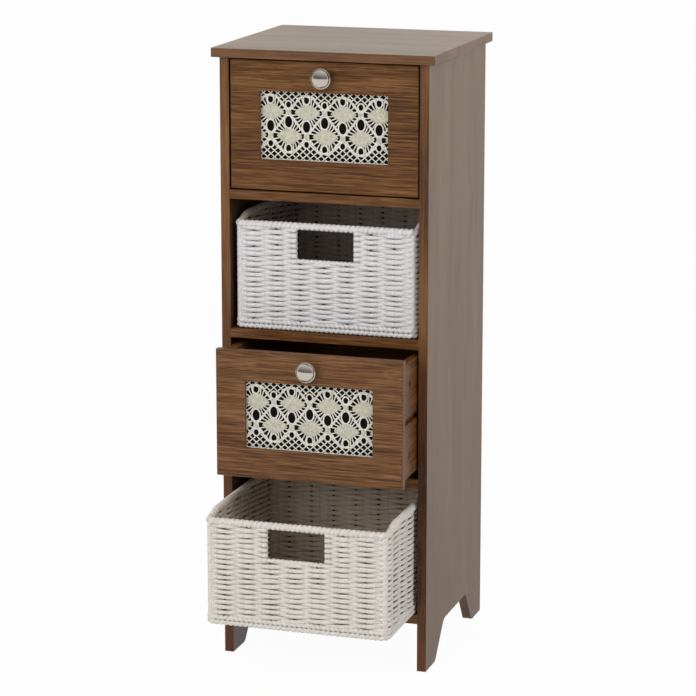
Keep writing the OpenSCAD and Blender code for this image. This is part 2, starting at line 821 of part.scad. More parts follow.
// The gaps round one leaf. flip turns the cell's round hole to the top.
module leaf_gaps(flip) {
    step = (180 - 2 * leaf_clear) / gaps_per_side;
    for (side = [0, 180], i = [0:gaps_per_side - 1]) {
        a = side - 90 + leaf_clear + i * step;
        thread_gap(a, a + step, (sin(a + step / 2) > 0) == flip ? tall_end : short_end);
    }
    open_way = flip ? 1 : -1;
    oval(0, open_way * (leaf_h / 2 + big_oval_gap), big_oval_w, big_oval_h);
    oval(0, -open_way * (leaf_h / 2 + small_oval_gap), small_oval_w, small_oval_h);
}

// The small gaps of the mesh between the leaves' ends, from the edge at z = 0 inwards.
module mesh_gaps() {
    column = leaf_pitch / mesh_columns;
    for (row = [0:mesh_rows - 1], i = [-1:1]) {
        count = row == 0 ? mesh_columns : mesh_columns + 1 - 2 * row;
        for (k = [0:count - 1])
            translate([i * leaf_pitch + (k - (count - 1) / 2) * column,
                       -row * mesh_row_pitch - mesh_edge])
                circle(d = mesh_gap - mesh_loss * row, $fn = 4);
    }
}

module lace_gaps() {
    for (i = [-1.5:1:1.5]) translate([i * leaf_pitch, upper_row_z]) leaf_gaps(false);
    for (i = [-2:2]) translate([i * leaf_pitch, lower_row_z]) leaf_gaps(true);
    for (i = [-1:1]) oval(i * leaf_pitch, upper_row_z + upper_join_rise, join_oval_w, join_oval_h);
    for (i = [-1.5:1:1.5]) oval(i * leaf_pitch, lower_row_z - lower_join_drop, join_oval_w, join_oval_h);
    translate([0, window_h / 2]) mesh_gaps();
    translate([0, -window_h / 2]) mirror([0, 1]) {
        translate([leaf_pitch / 2, 0]) mesh_gaps();
        translate([-leaf_pitch / 2, 0]) mesh_gaps();
    }
}

// The lace: a flat cotton net with a plain hem that the window's edge hides.
module drawer_lace() {
    color(cotton) difference() {
        along_y(lace_depth, lace_depth + lace_t) difference() {
            window_rectangle(lace_margin);
            translate([0, window_z]) intersection() {
                lace_gaps();
                translate([-window_w / 2 + hem, -window_h / 2 + hem])
                    square([window_w - 2 * hem, window_h - 2 * hem]);
            }
        }
        backing_pins(fit);
    }
}

module drawer_lace_backing() {
    y0 = lace_depth + lace_t;
    color(felt) difference() {
        along_y(y0, y0 + backing_t) window_rectangle(lace_margin);
        backing_pins(fit);
    }
}

module drawer_backing_screws() {
    color(steel) backing_pins();
}

// ---------- baskets ----------

// Height of the wall's top edge: low at the front, climbing along the sides.
ramp_y0 = basket_corner_r;
ramp_y1 = basket_corner_r + basket_ramp;

// Band in (Y, Z) between heights low and high above the wall's top edge.
module rim_band(low, high) {
    y0 = -rim_overhang - past;
    y1 = basket_d + rim_overhang + past;
    polygon([
        [y0, wall_top + low], [ramp_y0, wall_top + low], [ramp_y1, wall_top + basket_rise + low],
        [y1, wall_top + basket_rise + low], [y1, wall_top + basket_rise + high],
        [ramp_y1, wall_top + basket_rise + high], [ramp_y0, wall_top + high],
        [y0, wall_top + high],
    ]);
}

// A ring round the basket in plan, from outset outside the wall to inset inside it.
module wall_ring(outset, inset) {
    difference() {
        translate([0, -outset]) rounded_plan(basket_w + 2 * outset, basket_d + 2 * outset,
                                             basket_corner_r + outset);
        rounded_plan(basket_w, basket_d, basket_corner_r, inset);
    }
}

module basket_weave() {
    tall = wall_top + basket_rise + past;
    color(rope) difference() {
        union() {
            linear_extrude(weave_t) rounded_plan(basket_w, basket_d, basket_corner_r);
            intersection() {
                linear_extrude(tall) wall_ring(0, weave_t);
                along_x(-basket_w / 2 - past, basket_w / 2 + past) rim_band(-wall_top, 0);
            }
        }
        along_y(-past, weave_t + past) hand_hole();
        wire_frame(fit);
    }
}

module hand_hole() {
    translate([0, hand_z - hand_h / 2]) rounded_plan(hand_w, hand_h, hand_r);
}

module basket_rim() {
    color(rope) difference() {
        intersection() {
            linear_extrude(basket_h + basket_rise + past) wall_ring(rim_overhang, weave_t + rim_overhang);
            along_x(-basket_w, basket_w) rim_band(0, rim_h);
        }
        wire_frame(fit);
    }
}

// A wire between two points.
module wire_between(a, b, r) {
    way = b - a;
    translate(a) rotate([0, acos(way.z / norm(way)), atan2(way.y, way.x)])
        cylinder(r = r, h = norm(way));
}

// A quarter bend of wire, from +X towards +Y round the origin.
module wire_bend(r) {
    rotate_extrude(angle = 90) translate([wire_corner_r, 0]) circle(r = r);
}

// The wire frame: a ring round the top, a ring round the base, and uprights between them.
module wire_frame(grow = 0) {
    r = wire_d / 2 + grow;
    x = basket_w / 2 - wire_inset;
    y0 = wire_inset;
    y1 = basket_d - wire_inset;
    bend_x = x - wire_corner_r;
    front_z = wall_top + rim_h / 2;
    back_z = front_z + basket_rise;
    base_z = weave_t;
    for (z = [base_z, front_z])
        wire_between([-bend_x, y0, z], [bend_x, y0, z], r);
    for (z = [base_z, back_z])
        wire_between([-bend_x, y1, z], [bend_x, y1, z], r);
    both_sides() {
        for (z = [base_z, front_z])
            translate([bend_x, y0 + wire_corner_r, z]) mirror([0, 1, 0]) wire_bend(r);
        for (z = [base_z, back_z])
            translate([bend_x, y1 - wire_corner_r, z]) wire_bend(r);
        wire_between([x, y0 + wire_corner_r, base_z], [x, y1 - wire_corner_r, base_z], r);
        wire_between([x, ramp_y0, front_z], [x, ramp_y1, back_z], r);
        wire_between([x, ramp_y1, back_z], [x, y1 - wire_corner_r, back_z], r);
        // Soldered beads where the top wire bends
        for (joint = [[ramp_y0, front_z], [ramp_y1, back_z]])
            translate([x, joint[0], joint[1]]) sphere(r = r + wire_bead);
        // Uprights beside the hand hole, along the sides and along the back
        wire_between([hand_w / 2 + weave_t, y0, base_z], [hand_w / 2 + weave_t, y0, front_z], r);
        wire_between([x, basket_d / 2, base_z], [x, basket_d / 2, back_z], r);
        wire_between([basket_w / 4, y1, base_z], [basket_w / 4, y1, back_z], r);
    }
}

module basket_wire_frame() {
    color(steel) wire_frame();
}

// ---------- nodes ----------

module upper_drawer() {
    drawer_place(3, upper_drawer_out) children();
}

module lower_drawer() {
    drawer_place(1, lower_drawer_out) children();
}

module upper_basket() {
    basket_place(2, upper_basket_out) children();
}

module lower_basket() {
    basket_place(0, lower_basket_out) children();
}

top_board();
left_side_panel();
right_side_panel();
shelf(3);  // upper_shelf
shelf(2);  // middle_shelf
shelf(1);  // lower_shelf
shelf(0);  // bottom_board
back_panel();
board_dowels();
board_cam_bolts();
board_cam_locks();
mirror([1, 0, 0]) runner(3);  // upper_left_runner
runner(3);  // upper_right_runner
mirror([1, 0, 0]) runner(1);  // lower_left_runner
runner(1);  // lower_right_runner
runner_screws();

upper_drawer() drawer_front();  // upper_drawer_front
upper_drawer() drawer_lace();  // upper_drawer_lace
upper_drawer() drawer_lace_backing();  // upper_drawer_lace_backing
upper_drawer() drawer_backing_screws();  // upper_drawer_backing_screws
upper_drawer() mirror([1, 0, 0]) drawer_side();  // upper_drawer_left_side
upper_drawer() drawer_side();  // upper_drawer_right_side
upper_drawer() drawer_back();  // upper_drawer_back
upper_drawer() drawer_bottom();  // upper_drawer_bottom
upper_drawer() drawer_cam_bolts();  // upper_drawer_cam_bolts
upper_drawer() drawer_cam_locks();  // upper_drawer_cam_locks
upper_drawer() drawer_back_screws();  // upper_drawer_back_screws
upper_drawer() knob();  // upper_drawer_knob
upper_drawer() knob_screw();  // upper_drawer_knob_screw

lower_drawer() drawer_front();  // lower_drawer_front
lower_drawer() drawer_lace();  // lower_drawer_lace
lower_drawer() drawer_lace_backing();  // lower_drawer_lace_backing
lower_drawer() drawer_backing_screws();  // lower_drawer_backing_screws
lower_drawer() mirror([1, 0, 0]) drawer_side();  // lower_drawer_left_side
lower_drawer() drawer_side();  // lower_drawer_right_side
lower_drawer() drawer_back();  // lower_drawer_back
lower_drawer() drawer_bottom();  // lower_drawer_bottom
lower_drawer() drawer_cam_bolts();  // lower_drawer_cam_bolts
lower_drawer() drawer_cam_locks();  // lower_drawer_cam_locks
lower_drawer() drawer_back_screws();  // lower_drawer_back_screws
lower_drawer() knob();  // lower_drawer_knob
lower_drawer() knob_screw();  // lower_drawer_knob_screw

upper_basket() basket_weave();  // upper_basket_weave
upper_basket() basket_rim();  // upper_basket_rim
upper_basket() basket_wire_frame();  // upper_basket_wire_frame
lower_basket() basket_weave();  // lower_basket_weave
lower_basket() basket_rim();  // lower_basket_rim
lower_basket() basket_wire_frame();  // lower_basket_wire_frame
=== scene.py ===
"""The looks of a slim bathroom tower: walnut laminate, two lace-fronted drawers and two baskets of
white paper rope. Lengths are in metres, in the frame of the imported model."""

from bisect import bisect_left
from math import atan2, copysign, cos, hypot, pi, radians, sin, sqrt

import bmesh
import bpy
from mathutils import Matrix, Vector, noise


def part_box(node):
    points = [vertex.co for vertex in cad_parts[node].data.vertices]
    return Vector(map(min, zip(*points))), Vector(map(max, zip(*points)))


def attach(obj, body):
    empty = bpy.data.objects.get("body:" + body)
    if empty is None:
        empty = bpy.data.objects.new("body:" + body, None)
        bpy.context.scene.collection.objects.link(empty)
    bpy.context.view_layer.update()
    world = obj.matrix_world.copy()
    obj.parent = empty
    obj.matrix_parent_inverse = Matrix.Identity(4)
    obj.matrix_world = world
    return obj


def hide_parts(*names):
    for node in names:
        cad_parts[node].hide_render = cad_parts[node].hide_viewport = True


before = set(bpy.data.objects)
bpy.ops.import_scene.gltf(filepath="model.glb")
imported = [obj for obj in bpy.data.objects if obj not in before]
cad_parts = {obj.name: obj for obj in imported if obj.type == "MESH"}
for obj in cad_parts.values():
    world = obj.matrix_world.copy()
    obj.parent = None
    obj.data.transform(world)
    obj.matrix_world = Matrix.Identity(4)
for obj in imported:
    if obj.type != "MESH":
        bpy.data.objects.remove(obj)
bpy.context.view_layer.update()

MM = 0.001
UP = Vector((0, 0, 1))
FRONT = Vector((0, -1, 0))


def mm(*lengths):
    """Several lengths in millimetres as metres."""
    return tuple(length * MM for length in lengths)


def in_scene(name, data):
    """A new object in the scene, at the origin."""
    made = bpy.data.objects.new(name, data)
    bpy.context.scene.collection.objects.link(made)
    return made


def as_mesh(name, work):
    """A finished bmesh as a mesh."""
    mesh = bpy.data.meshes.new(name)
    work.to_mesh(mesh)
    work.free()
    return mesh


# ---------- camera ----------

# The photograph's width, its focal length and its axis's height above its middle, in pixels
IMAGE_PX = 696
FOCAL_PX = 2804.8
AXIS_ABOVE_CENTRE_PX = 35
YAW = radians(17.695)
PITCH = radians(12.149)
EYE = Vector((1185.6, -3688.45, 1323.6)) * MM
SENSOR = 36
FARTHEST = 50


def aim_camera():
    lens = bpy.data.cameras.new("photo_camera")
    lens.sensor_width = SENSOR
    lens.lens = FOCAL_PX / IMAGE_PX * SENSOR
    lens.shift_y = -AXIS_ABOVE_CENTRE_PX / IMAGE_PX
    lens.clip_end = FARTHEST
    camera = in_scene("photo_camera", lens)
    camera.location = EYE
    camera.rotation_euler = (pi / 2 - PITCH, 0, YAW)
    bpy.context.scene.camera = camera


aim_camera()


# ---------- node helpers ----------

def srgb(red, green, blue):
    """An 0-255 screen colour as the linear colour that a shader takes."""
    def linear(value):
        share = value / 255
        return share / 12.92 if share <= 0.04045 else ((share + 0.055) / 1.055) ** 2.4
    return (linear(red), linear(green), linear(blue), 1)


class Nodes:
    """A node tree, built one node at a time. Sockets are given by name or by number."""

    def __init__(self, tree):
        self.tree = tree

    def set(self, node, sockets):
        for socket, value in sockets.items():
            target = node.inputs[socket]
            if isinstance(value, bpy.types.NodeSocket):
                self.tree.links.new(value, target)
            else:
                target.default_value = value

    def node(self, kind, sockets=None, **options):
        made = self.tree.nodes.new("ShaderNode" + kind)
        for option, value in options.items():
            setattr(made, option, value)
        self.set(made, sockets or {})
        return made

    def coordinates(self, kind="Object", shift=(0, 0, 0), scale=(1, 1, 1)):
        source = self.node("TexCoord").outputs[kind]
        return self.node("Mapping", {"Vector": source, "Location": shift,
                                     "Scale": scale}).outputs["Vector"]

    def parts(self, vector):
        """A vector's X, Y and Z as outputs under these names."""
        return self.node("SeparateXYZ", {"Vector": vector}).outputs

    def noise(self, vector, scale, detail=4.0, rough=0.5, distortion=0.0):
        return self.node("TexNoise", {"Vector": vector, "Scale": scale, "Detail": detail,
                                      "Roughness": rough, "Distortion": distortion}).outputs["Fac"]

    def ramp(self, factor, stops):
        """stops is a list of (position, colour)."""
        made = self.node("ValToRGB", {"Fac": factor})
        ramp = made.color_ramp
        while len(ramp.elements) < len(stops):
            ramp.elements.new(0.5)
        for element, (place, colour) in zip(ramp.elements, stops):
            element.position = place
            element.color = colour
        return made.outputs["Color"]

    def math(self, operation, first, second=0.0, third=0.0):
        sockets = {0: first, 1: second, 2: third}
        return self.node("Math", sockets, operation=operation).outputs[0]

    def blend(self, factor, first, second, mode="MIX"):
        """A mix of two colours. These are the colour sockets of the Mix node."""
        sockets = {0: factor, 6: first, 7: second}
        return self.node("Mix", sockets, data_type="RGBA", blend_type=mode).outputs[2]

    def mixed_shader(self, factor, first, second):
        return self.node("MixShader", {0: factor, 1: first, 2: second}).outputs[0]

    def span(self, value, low, high, start=0.0, end=1.0):
        """value from start..end stretched to low..high."""
        return self.node("MapRange", {"Value": value, "From Min": start, "From Max": end,
                                      "To Min": low, "To Max": high}).outputs[0]

    def wave(self, turns):
        """0 to 1 and back once in every turn."""
        sine = self.math("SINE", self.math("MULTIPLY", turns, 2 * pi))
        return self.math("MULTIPLY_ADD", sine, 0.5, 0.5)

    def bump(self, height, distance, strength=1.0):
        return self.node("Bump", {"Height": height, "Distance": distance,
                                  "Strength": strength}).outputs["Normal"]


# The finished materials by the names that their recipes ask for
MATERIALS = {}


class Recipe(Nodes):
    """A material's node tree round its Principled shader."""

    def __init__(self, name):
        self.name = name
        self.material = bpy.data.materials.new(name)
        self.material.use_nodes = True
        super().__init__(self.material.node_tree)
        self.shader = self.tree.nodes["Principled BSDF"]

    def finish(self, **sockets):
        self.set(self.shader, {name.replace("_", " "): value for name, value in sockets.items()})
        MATERIALS[self.name] = self.material


# ---------- materials ----------

BLACK, WHITE = (0, 0, 0, 1), (1, 1, 1, 1)

# Shades of the printed walnut, from its darkest streaks to its palest, and where they lie round
# the middle of the grain
FRONT_BROWN = (srgb(56, 31, 13), srgb(85, 52, 23), srgb(99, 63, 30), srgb(124, 85, 48))
PALE_BROWN = (srgb(66, 39, 19), srgb(96, 61, 34), srgb(110, 74, 43), srgb(132, 95, 60))
EDGE_BROWN = (srgb(64, 36, 14), srgb(93, 58, 28), srgb(107, 70, 37), srgb(128, 89, 52))
# The top's and the sides' shades are paler and greyer than the wood: a painted sheen, the room's
# reflection seen at a grazing angle
TOP_PAINTED_SHEEN = (srgb(112, 90, 67), srgb(128, 105, 80), srgb(137, 113, 88), srgb(148, 124, 98))
SIDE_PAINTED_SHEEN = (srgb(101, 79, 54), srgb(112, 89, 62), srgb(119, 95, 67), srgb(130, 106, 77))
# The side panels' inner faces: darker shades, as painted shade
INNER_PAINTED_SHADE = (srgb(42, 26, 12), srgb(60, 40, 22), srgb(69, 47, 27), srgb(84, 60, 37))
SHADE_PLACES = (-0.11, -0.03, 0.03, 0.11)
# Weights of the broad figure, the bands and the fine streaks
FINE = (0.18, 0.36, 0.46)
BROAD = (0.4, 0.24, 0.14)
# Painted shade on the side panels: a browner, darker tint near the floor, where their sheen fades,
# and the heights that it starts and is full at
FOOT_PAINTED_SHADE = srgb(212, 186, 152)
FOOT_SHADE_HEIGHTS = (0.75, 0.1)


def wood_grain(wood, along, seed, weights):
    """Walnut grain along X, Y or Z: its tone, a number round half the weights' sum, and its fine
    streaks, pores and arched growth lines. Each layer is a noise that is drawn out along it."""
    def grain(stretch, shift):
        scale = [1 / stretch if axis == along else 1 for axis in "XYZ"]
        return wood.coordinates(shift=(seed * 1.37 + shift, seed * 0.71, seed * 0.53), scale=scale)

    figure = wood.noise(grain(7, 0.0), scale=24, detail=3, distortion=0.5)
    bands = wood.noise(grain(30, 1.3), scale=400, detail=2, distortion=0.1)
    streaks = wood.noise(grain(34, 2.9), scale=950, detail=2)
    pores = wood.noise(grain(24, 4.7), scale=1150, detail=1)
    tone = 0.0
    for layer, weight in zip((figure, bands, streaks), weights):
        tone = wood.math("MULTIPLY_ADD", layer, weight, tone)
    # The growth lines are the contours of a slow noise.
    slow = wood.noise(grain(6, 6.2), scale=14, detail=1, rough=0.3)
    arches = wood.math("FRACT", wood.math("MULTIPLY", slow, 16.0))
    arches = wood.ramp(arches, [(0.0, WHITE), (0.05, BLACK), (0.95, BLACK), (1.0, WHITE)])
    pits = wood.ramp(pores, [(0.33, BLACK), (0.39, WHITE)])
    return tone, streaks, pits, arches


def walnut(name, along, shades, seed, weights=FINE, band=None, inside=None, foot=None,
           sheen=0.25, arched=0.07):
    """Printed walnut laminate. band is (axis, place, shades): below that place on the axis shows
    the board's edge band instead. inside is (axis, reach, shades): painted shade, the darker
    shades of the faces that lie within that reach of the middle. foot is (high, low, tint):
    painted shade, the board takes the darker tint from the height high down to low. arched is
    the strength of the pale growth lines."""
    wood = Recipe(name)
    tone, streaks, pits, arches = wood_grain(wood, along, seed, weights)
    place = wood.parts(wood.coordinates())

    def coloured(tones):
        middle = sum(weights) / 2
        return wood.ramp(tone, [(middle + away, tint) for away, tint in zip(SHADE_PLACES, tones)])

    colour = coloured(shades)
    # Painted shade: the inner faces take darker shades.
    if inside:
        axis, reach, tones = inside
        within = wood.math("LESS_THAN", wood.math("ABSOLUTE", place[axis]), reach)
        colour = wood.blend(within, colour, coloured(tones))
    if band:
        axis, edge, tones = band
        colour = wood.blend(wood.math("LESS_THAN", place[axis], edge), colour, coloured(tones))
    # Painted shade: the board darkens to a browner tint towards the floor.
    if foot:
        high, low, tint = foot
        fade = wood.span(place["Z"], 0.0, 1.0, high, low)
        colour = wood.blend(fade, colour, tint, mode="MULTIPLY")
    pored = wood.math("MULTIPLY", wood.math("SUBTRACT", 1.0, pits), 0.5)
    colour = wood.blend(pored, colour, shades[0])
    colour = wood.blend(wood.math("MULTIPLY", arches, arched), colour, shades[-1])
    relief = wood.math("MULTIPLY_ADD", pits, 0.6, wood.math("MULTIPLY", streaks, 0.4))
    wood.finish(Base_Color=colour, Roughness=wood.span(streaks, 0.34, 0.5),
                Specular_IOR_Level=sheen, Normal=wood.bump(relief, 0.0001, 0.5))


def hardboard():
    """Brown pressed fibre with a fine speckle."""
    board = Recipe("dark_hardboard")
    place = board.coordinates()
    fibre = board.noise(place, scale=420, detail=6, rough=0.7, distortion=0.4)
    cloud = board.noise(place, scale=9, detail=3)
    colour = board.ramp(fibre, [(0.32, srgb(58, 39, 25)), (0.52, srgb(88, 62, 41)),
                                (0.72, srgb(117, 88, 62))])
    colour = board.blend(board.math("MULTIPLY", cloud, 0.35), colour, srgb(70, 48, 31))
    board.finish(Base_Color=colour, Roughness=board.span(fibre, 0.62, 0.8),
                 Normal=board.bump(fibre, 0.0002, 0.4))


def beech():
    """Pale beech with short flecks."""
    wood = Recipe("beech_dowel")
    place = wood.coordinates()
    grain = wood.noise(place, scale=300, detail=5, rough=0.6, distortion=1.2)
    flecks = wood.noise(place, scale=1300, detail=2)
    colour = wood.ramp(grain, [(0.3, srgb(176, 132, 84)), (0.6, srgb(208, 168, 118))])
    colour = wood.blend(wood.math("MULTIPLY", flecks, 0.25), colour, srgb(140, 98, 58))
    wood.finish(Base_Color=colour, Roughness=0.62, Normal=wood.bump(grain, 0.0002, 0.4))


def zinc(name, dull, bright, roughness):
    """Plated fittings, slightly blotched."""
    metal = Recipe(name)
    place = metal.coordinates()
    blotch = metal.noise(place, scale=380, rough=0.6)
    fine = metal.noise(place, scale=2600, detail=2)
    colour = metal.ramp(blotch, [(0.3, dull), (0.7, bright)])
    rough = metal.span(blotch, roughness, roughness + 0.2)
    metal.finish(Base_Color=colour, Metallic=1.0, Roughness=rough,
                 Normal=metal.bump(fine, 0.00008, 0.3))


def nickel():
    """Satin nickel, turned on a lathe, slightly hazed by handling."""
    metal = Recipe("satin_nickel")
    place = metal.coordinates()
    haze = metal.noise(place, scale=120, rough=0.6)
    fine = metal.noise(place, scale=3600, detail=3, rough=0.6)
    colour = metal.ramp(haze, [(0.25, srgb(186, 178, 167)), (0.75, srgb(205, 197, 185))])
    turned = metal.node("Tangent", direction_type="RADIAL", axis="Y").outputs["Tangent"]
    metal.finish(Base_Color=colour, Metallic=1.0, Roughness=metal.span(haze, 0.13, 0.2),
                 Anisotropic=0.4, Tangent=turned, Normal=metal.bump(fine, 0.00005, 0.25))


# Rope UVs: U is the length along the rope in centimetres, V runs once round it.
ROPE_UV_LENGTH = 0.01
# Length of one turn of the paper's twist, in centimetres, and the depth of its relief
PAPER_LAY = 1.3
PAPER_RELIEF = 0.0003
# Tones of the paper, from its creases, partly darkened by painted shade, to its ridges, and the
# painted shade, a warm tint, on what faces into the basket
WHITE_ROPE = (srgb(166, 163, 163), srgb(220, 216, 216), srgb(244, 241, 241))
WARM_ROPE = (srgb(166, 160, 152), srgb(222, 216, 209), srgb(243, 238, 231))
# The stakes' tones: their white rope darkened all through, as painted shade in the gaps of the
# weave
SHADED_STAKE_ROPE = (srgb(58, 50, 42), srgb(88, 79, 69), srgb(112, 102, 91))
INNER_ROPE_SHADE = srgb(250, 236, 220)


def paper_rope(name, colours):
    """Twisted paper with creases along it, with painted shade in its creases and grooves. Where it
    faces into the basket it is a little warmer and darker, as painted shade.
    """
    rope = Recipe(name)
    uv = rope.parts(rope.node("TexCoord").outputs["UV"])
    ridge = rope.wave(rope.math("MULTIPLY_ADD", uv["X"], 1 / PAPER_LAY, uv["Y"]))
    crease = rope.noise(rope.coordinates(kind="UV", scale=(0.9, 5, 1)), scale=6, rough=0.6,
                        distortion=0.6)
    cloud = rope.noise(rope.coordinates(), scale=70, detail=3)
    shade, body, bright = colours
    # The crease tones: partly the paper's uneven tone, partly painted shade in its creases
    colour = rope.ramp(crease, [(0.30, shade), (0.46, body), (0.70, bright)])
    # Painted shade in the grooves between the twisted strands
    groove_shade = rope.ramp(ridge, [(0.0, WHITE), (0.3, BLACK)])
    colour = rope.blend(rope.math("MULTIPLY", groove_shade, 0.22), colour, shade)
    colour = rope.blend(rope.math("MULTIPLY", cloud, 0.2), colour, shade)
    # Painted shade: the half of each rope that faces into the basket is warmer and darker.
    around = rope.math("COSINE", rope.math("MULTIPLY", uv["Y"], 2 * pi))
    inner = rope.span(around, 0.0, 0.8, 0.3, -0.5)
    colour = rope.blend(inner, colour, INNER_ROPE_SHADE, mode="MULTIPLY")
    relief = rope.math("MULTIPLY_ADD", ridge, 0.5, rope.math("MULTIPLY", crease, 0.6))
    rope.finish(Base_Color=colour, Roughness=rope.span(crease, 0.66, 0.84),
                Normal=rope.bump(relief, PAPER_RELIEF, 0.7))


# Pitch of the leaves' weave, in metres along X, and length of a thread's twist, in centimetres
CLOTH_PITCH = 0.0021
THREAD_LAY = 0.16


def cotton():
    """Ivory lace cotton. The attribute "cloth" is 1 on the closely woven leaves."""
    thread = Recipe("cotton_lace")
    place = thread.coordinates()
    uneven = thread.noise(place, scale=300, rough=0.6)
    fuzz = thread.noise(place, scale=2600, rough=0.7)
    cloth = thread.node("Attribute", attribute_name="cloth").outputs["Fac"]
    axes = thread.parts(place)
    slanted = [thread.math("MULTIPLY", thread.math(way, axes["X"], axes["Z"]), 1 / CLOTH_PITCH)
               for way in ("ADD", "SUBTRACT")]
    over = thread.math("MAXIMUM", *[thread.wave(turns) for turns in slanted])
    uv = thread.parts(thread.node("TexCoord").outputs["UV"])
    twist = thread.wave(thread.math("MULTIPLY_ADD", uv["X"], 1 / THREAD_LAY, uv["Y"]))
    shape = thread.math("MULTIPLY_ADD", cloth, thread.math("SUBTRACT", over, twist), twist)
    bright = thread.ramp(uneven, [(0.3, srgb(212, 208, 194)), (0.5, srgb(232, 229, 218)),
                                  (0.72, srgb(243, 241, 233))])
    woven = thread.ramp(uneven, [(0.3, srgb(168, 163, 144)), (0.5, srgb(194, 190, 172)),
                                 (0.72, srgb(212, 208, 193))])
    colour = thread.blend(cloth, bright, woven)
    # Painted shade in the dips of the leaves' weave and of the threads' twist
    dip_shade = thread.ramp(shape, [(0.12, WHITE), (0.5, BLACK)])
    colour = thread.blend(thread.math("MULTIPLY", dip_shade, 0.34), colour, srgb(150, 143, 120))
    relief = thread.math("MULTIPLY_ADD", fuzz, 0.3, shape)
    thread.finish(Base_Color=colour, Roughness=0.82, Sheen_Weight=0.12,
                  Normal=thread.bump(relief, 0.0003, 0.6))


def black_board():
    """The black-faced board behind the lace."""
    board = Recipe("black_backing")
    place = board.coordinates()
    nap = board.noise(place, scale=900, detail=5, rough=0.7)
    cloud = board.noise(place, scale=40, detail=3)
    colour = board.ramp(nap, [(0.3, srgb(6, 5, 4)), (0.7, srgb(15, 13, 11))])
    colour = board.blend(board.math("MULTIPLY", cloud, 0.3), colour, srgb(9, 8, 7))
    board.finish(Base_Color=colour, Roughness=board.span(nap, 0.75, 0.9),
                 Specular_IOR_Level=0.15, Normal=board.bump(nap, 0.0002, 0.5))


# Where the edge bands and the panels' inner faces end, just beyond the boards' eased edges
TOP_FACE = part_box("top_board")[1].z - 0.8 * MM
PANEL_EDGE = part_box("right_side_panel")[0].y + 0.8 * MM
PANEL_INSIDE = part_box("right_side_panel")[0].x + 0.2 * MM

# The top and the sides carry a painted sheen in their colour. The sides also carry painted shade on
# their inner faces and near the floor.
walnut("walnut_top_painted_sheen", "X", TOP_PAINTED_SHEEN, 3.1, BROAD, band=("Z", TOP_FACE, EDGE_BROWN), sheen=0.5)
walnut("walnut_side_painted_light", "Z", SIDE_PAINTED_SHEEN, 1.7, BROAD, band=("Y", PANEL_EDGE, EDGE_BROWN), sheen=0.3,
       inside=("X", PANEL_INSIDE, INNER_PAINTED_SHADE), foot=(*FOOT_SHADE_HEIGHTS, FOOT_PAINTED_SHADE))
walnut("walnut_shelf", "X", EDGE_BROWN, 5.3)
walnut("walnut_upper_front", "X", FRONT_BROWN, 7.9)
walnut("walnut_lower_front", "X", PALE_BROWN, 2.3, arched=0.45)
walnut("walnut_box", "Y", EDGE_BROWN, 4.4)
walnut("walnut_box_back", "X", EDGE_BROWN, 6.1)
hardboard()
beech()
zinc("zinc_hardware", srgb(150, 150, 153), srgb(196, 196, 194), 0.3)
zinc("browned_cams", srgb(84, 62, 44), srgb(124, 96, 70), 0.5)
nickel()
cotton()
black_board()
paper_rope("upper_paper_rope", WHITE_ROPE)
paper_rope("lower_paper_rope", WARM_ROPE)
# The stakes' rope, darkened as painted shade
paper_rope("shaded_stake_paper_rope", SHADED_STAKE_ROPE)


# ---------- mesh helpers ----------

# Vertices nearer than this are one.
MERGED = 1e-6
# Triangles that meet at less than this angle are one face.
FLAT_ANGLE = radians(0.5)
# A face whose normal is nearer to an axis than this is flat, and any other is part of a curve.
STRAIGHT = 0.9999
# A board's edges that are eased: sharper and longer than this. The width of the eased strip
SHARP_ANGLE = radians(60)
LONG_EDGE = 25 * MM
EASED = 0.5 * MM
RUNNER_EASED = 0.3 * MM


def piece(name, work, material, body, nodes, slot):
    """Turns a bmesh into a piece that rides on a body and stands for CAD nodes."""
    made = in_scene(name, as_mesh(name, work))
    made.data.materials.append(MATERIALS[material])
    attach(made, body)
    if nodes:
        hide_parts(*nodes)
    return made


def merged_copy(node):
    """A CAD node's mesh as a bmesh with its triangles joined into whole faces."""
    work = bmesh.new()
    work.from_mesh(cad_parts[node].data)
    bmesh.ops.remove_doubles(work, verts=work.verts, dist=MERGED)
    bmesh.ops.dissolve_limit(work, angle_limit=FLAT_ANGLE, verts=work.verts, edges=work.edges)
    for face in work.faces:
        face.smooth = max(abs(part) for part in face.normal) < STRAIGHT
    return work


def board(node, material, body, slot="walnut_laminate", width=EASED):
    """A laminated board: the CAD board with its long edges eased, so that they catch the light."""
    work = merged_copy(node)
    edges = [edge for edge in work.edges if edge.is_manifold and edge.calc_length() > LONG_EDGE
             and edge.calc_face_angle_signed() > SHARP_ANGLE]
    made = bmesh.ops.bevel(work, geom=edges, offset=width, offset_type="OFFSET", affect="EDGES",
                           segments=2, profile=0.5, material=-1, clamp_overlap=True)
    for face in made["faces"]:
        face.smooth = True
    return piece(node + "_board", work, material, body, [node], slot)


def clothe(node, material):
    """Gives a CAD node that stays in the scene its finish."""
    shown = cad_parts[node]
    shown.data.materials.clear()
    shown.data.materials.append(MATERIALS[material])


# ---------- cabinet ----------

board("top_board", "walnut_top_painted_sheen", "cabinet")
for side in ("left", "right"):
    board(side + "_side_panel", "walnut_side_painted_light", "cabinet")
    for level in ("upper", "lower"):
        board(f"{level}_{side}_runner", "walnut_box", "cabinet", width=RUNNER_EASED)
for shelf in ("upper_shelf", "middle_shelf", "lower_shelf", "bottom_board"):
    board(shelf, "walnut_shelf", "cabinet")
clothe("back_panel", "dark_hardboard")
clothe("board_dowels", "beech_dowel")
for fitting in ("board_cam_bolts", "board_cam_locks", "runner_screws"):
    clothe(fitting, "zinc_hardware")


# ---------- ropes and threads ----------

# Shares of a rounded end at which it has further sections, and how sharply a wound strand bulges
END_SHARES = (0.08, 0.35)
STRAND_POWER = 0.6


